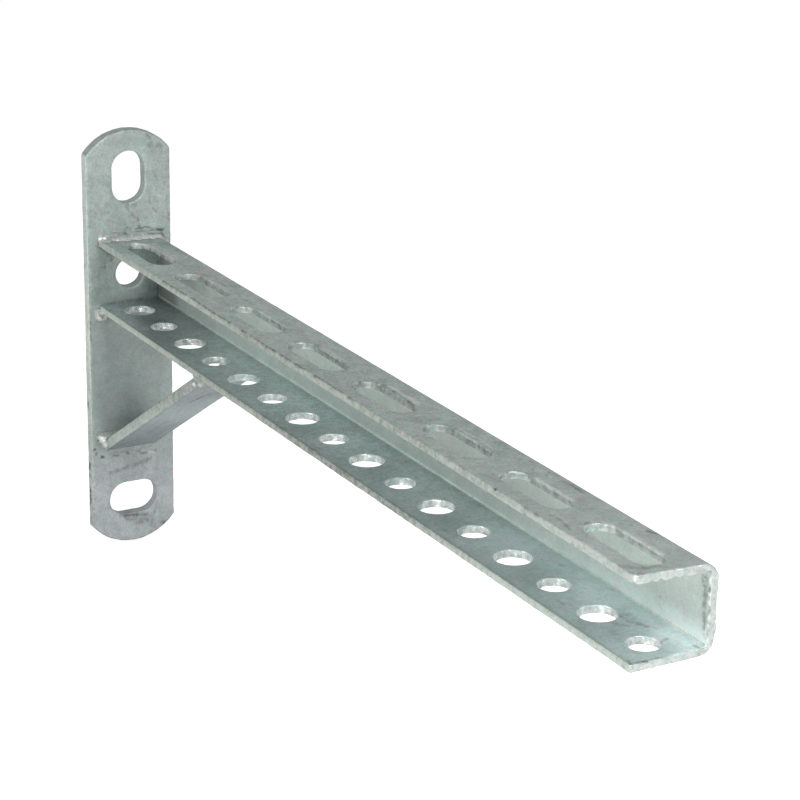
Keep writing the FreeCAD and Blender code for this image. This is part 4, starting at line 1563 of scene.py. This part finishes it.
class STRUTARM_OT_brace_welds(bpy.types.Operator):
    """Lay the beads at the brace's foot and head"""
    bl_idname = "strut_arm.brace_welds"
    bl_label = "Brace welds"

    def execute(self, context):
        settings = context.scene.strut_arm
        thick = settings.brace.thick
        size = BRACE_HIGH - BRACE_LOW
        slope = math.atan2(size.z, size.x)
        foot_cut = thick / math.cos(slope)
        head_cut = thick / math.sin(slope)
        up_brace = Vector((math.cos(slope), 0, math.sin(slope)))
        across = SIDE * size.y
        foot = Vector((BRACE_LOW.x, BRACE_LOW.y, BRACE_LOW.z + foot_cut))
        stations = straight_stations(
            foot - SIDE * FOOT_OVERRUN, foot + across, UP, FOOT_UPPER_LEGS[0], up_brace, FOOT_UPPER_LEGS[1])
        balls = balls_at(foot, SIDE, UP, FOOT_BALLS)
        weld_bead("foot_upper_bead", "weld_brace_foot_upper", [stations], balls, settings, 4.0,
                  FOOT_BEAD_MARKS)

        low = foot - UP * foot_cut
        set_in = SIDE * FOOT_SET_IN
        stations = straight_stations(
            low + set_in, low + across - set_in, -UP, FOOT_LOWER_LEG, up_brace, FOOT_LOWER_LEG)
        weld_bead("foot_lower_bead", "weld_brace_foot_lower", [stations], [], settings, 5.0)

        head = Vector((BRACE_HIGH.x - head_cut, BRACE_LOW.y, BRACE_HIGH.z))
        stations = straight_stations(
            head - SIDE * HEAD_OVERRUN, head + across, -OUT, HEAD_LEG, -up_brace, HEAD_LEG)
        start, end = head - OUT * HEAD_SIDE_LEAD, head + OUT * head_cut
        side_run = straight_stations(start, end, -UP, HEAD_SIDE_LEGS[0], -SIDE, HEAD_SIDE_LEGS[1])
        balls = balls_at(head, SIDE, UP, HEAD_BALLS)
        weld_bead("head_bead", "weld_brace_head", [stations, side_run], balls, settings, 6.0, HEAD_BEAD_MARKS)
        return {"FINISHED"}


# Studio

FLOOR_RADIUS = 4.0
EYE = Vector((971.03, -420.13, 345.5)) * MM
# What the lamps look at, and the place and width of each
AIM = Vector((0.2, 0, 0.02))
LAMPS = (
    ("end_light", Vector((0.75, 0, 0.5)), 0.3),
    ("side_light", Vector((0.3, -0.95, 0.4)), 0.5),
    ("low_light", Vector((0.68, -0.35, 0.0)), 0.3),
    ("back_light", Vector((0.0, 1.0, 0.05)), 0.6),
)


def area_light(name, place, size, power):
    """Soft square light that looks at the arm and isn't seen itself."""
    light = bpy.data.lights.new(name, "AREA")
    light.shape = "SQUARE"
    light.size = size
    light.energy = power
    lamp = bpy.data.objects.new(name, light)
    lamp.location = place
    lamp.rotation_mode = "QUATERNION"
    lamp.rotation_quaternion = (AIM - place).to_track_quat("-Z", "Y")
    lamp.visible_camera = False
    bpy.context.scene.collection.objects.link(lamp)


def studio_floor(studio):
    """Round pale floor under the plate's lower end."""
    work = bmesh.new()
    bmesh.ops.create_circle(work, cap_ends=True, segments=96, radius=FLOOR_RADIUS)
    mesh = bpy.data.meshes.new("floor")
    work.to_mesh(mesh)
    work.free()
    floor = bpy.data.objects.new("floor", mesh)
    bpy.context.scene.collection.objects.link(floor)
    floor.location = (AIM.x, AIM.y, CAD_LOW.z - studio.floor_drop)
    paint = bpy.data.materials.new("Pale floor")
    paint.use_nodes = True
    paint.node_tree.nodes.clear()
    net = Net(paint.node_tree)
    seen = net.add("ShaderNodeLightPath").outputs["Is Camera Ray"]
    glow = net.add("ShaderNodeEmission", {"Strength": net.times(seen, studio.glow)})
    matt = net.add("ShaderNodeBsdfDiffuse", {"Color": rgba(studio.floor)})
    both = net.add("ShaderNodeAddShader", {0: glow.outputs[0], 1: matt.outputs[0]})
    net.add("ShaderNodeOutputMaterial", {"Surface": both.outputs[0]})
    mesh.materials.append(paint)


def studio_sky(studio):
    """Even light from all round, which the camera sees as plain white."""
    world = bpy.data.worlds.new("Soft white")
    bpy.context.scene.world = world
    world.use_nodes = True
    net = Net(world.node_tree)
    seen = net.add("ShaderNodeLightPath").outputs["Is Camera Ray"]
    sky = world.node_tree.nodes["Background"].inputs
    sky["Color"].default_value = (1, 1, 1, 1)
    world.node_tree.links.new(net.math("MAXIMUM", seen, studio.sky), sky["Strength"])


class STRUTARM_OT_studio(bpy.types.Operator):
    """Lay the floor, set the soft light and place the camera"""
    bl_idname = "strut_arm.studio"
    bl_label = "Studio"

    def execute(self, context):
        studio = context.scene.strut_arm.studio
        studio_floor(studio)
        studio_sky(studio)
        for name, place, size in LAMPS:
            area_light(name, place, size, getattr(studio, name))
        context.scene.view_settings.view_transform = "Standard"

        turn, rise, roll = studio.azimuth, studio.elevation, studio.roll
        back = Vector((math.sin(turn) * math.cos(rise), -math.cos(turn) * math.cos(rise), math.sin(rise)))
        right = Vector((math.cos(turn), math.sin(turn), 0))
        up = back.cross(right)
        rolled_right = right * math.cos(roll) + up * math.sin(roll)
        rolled_up = up * math.cos(roll) - right * math.sin(roll)
        camera = bpy.data.objects.new("camera", bpy.data.cameras.new("camera"))
        camera.data.lens = studio.lens
        camera.data.clip_start = 0.01
        axes = Matrix((rolled_right, rolled_up, back)).transposed().to_4x4()
        camera.matrix_world = Matrix.Translation(EYE) @ axes
        context.scene.collection.objects.link(camera)
        context.scene.camera = camera
        return {"FINISHED"}


class STRUTARM_PT_panel(bpy.types.Panel):
    """Settings and builders of the strut arm"""
    bl_idname = "STRUTARM_PT_panel"
    bl_label = "Strut Arm"
    bl_space_type = "VIEW_3D"
    bl_region_type = "UI"
    bl_category = "Strut Arm"

    def draw(self, context):
        settings = context.scene.strut_arm
        for title, group, builders in (
            ("Wall plate", settings.plate, ["strut_arm.wall_plate"]),
            ("Arm channel", settings.arm, ["strut_arm.arm_channel"]),
            ("Brace", settings.brace, ["strut_arm.brace_bar"]),
            ("Welds", settings.weld, ["strut_arm.arm_welds", "strut_arm.brace_welds"]),
            ("Zinc", settings.zinc, []),
            ("Studio", settings.studio, ["strut_arm.studio"]),
        ):
            box = self.layout.box()
            box.label(text=title)
            for name in group.bl_rna.properties.keys():
                if name not in ("rna_type", "name"):
                    box.prop(group, name)
            for builder in builders:
                box.operator(builder)


CLASSES = (
    PlateSizes, ArmSizes, BraceSizes, WeldSizes, ZincLook, StudioLook, StrutArmSettings,
    STRUTARM_OT_wall_plate, STRUTARM_OT_arm_channel, STRUTARM_OT_brace_bar,
    STRUTARM_OT_arm_welds, STRUTARM_OT_brace_welds, STRUTARM_OT_studio, STRUTARM_PT_panel,
)


def register():
    for item in CLASSES:
        bpy.utils.register_class(item)
    bpy.types.Scene.strut_arm = PointerProperty(type=StrutArmSettings)


def unregister():
    del bpy.types.Scene.strut_arm
    for item in reversed(CLASSES):
        bpy.utils.unregister_class(item)


def main():
    register()
    bpy.ops.strut_arm.studio()
    bpy.ops.strut_arm.wall_plate()
    bpy.ops.strut_arm.arm_channel()
    bpy.ops.strut_arm.brace_bar()
    bpy.ops.strut_arm.arm_welds()
    bpy.ops.strut_arm.brace_welds()


if __name__ == "__main__":
    main()
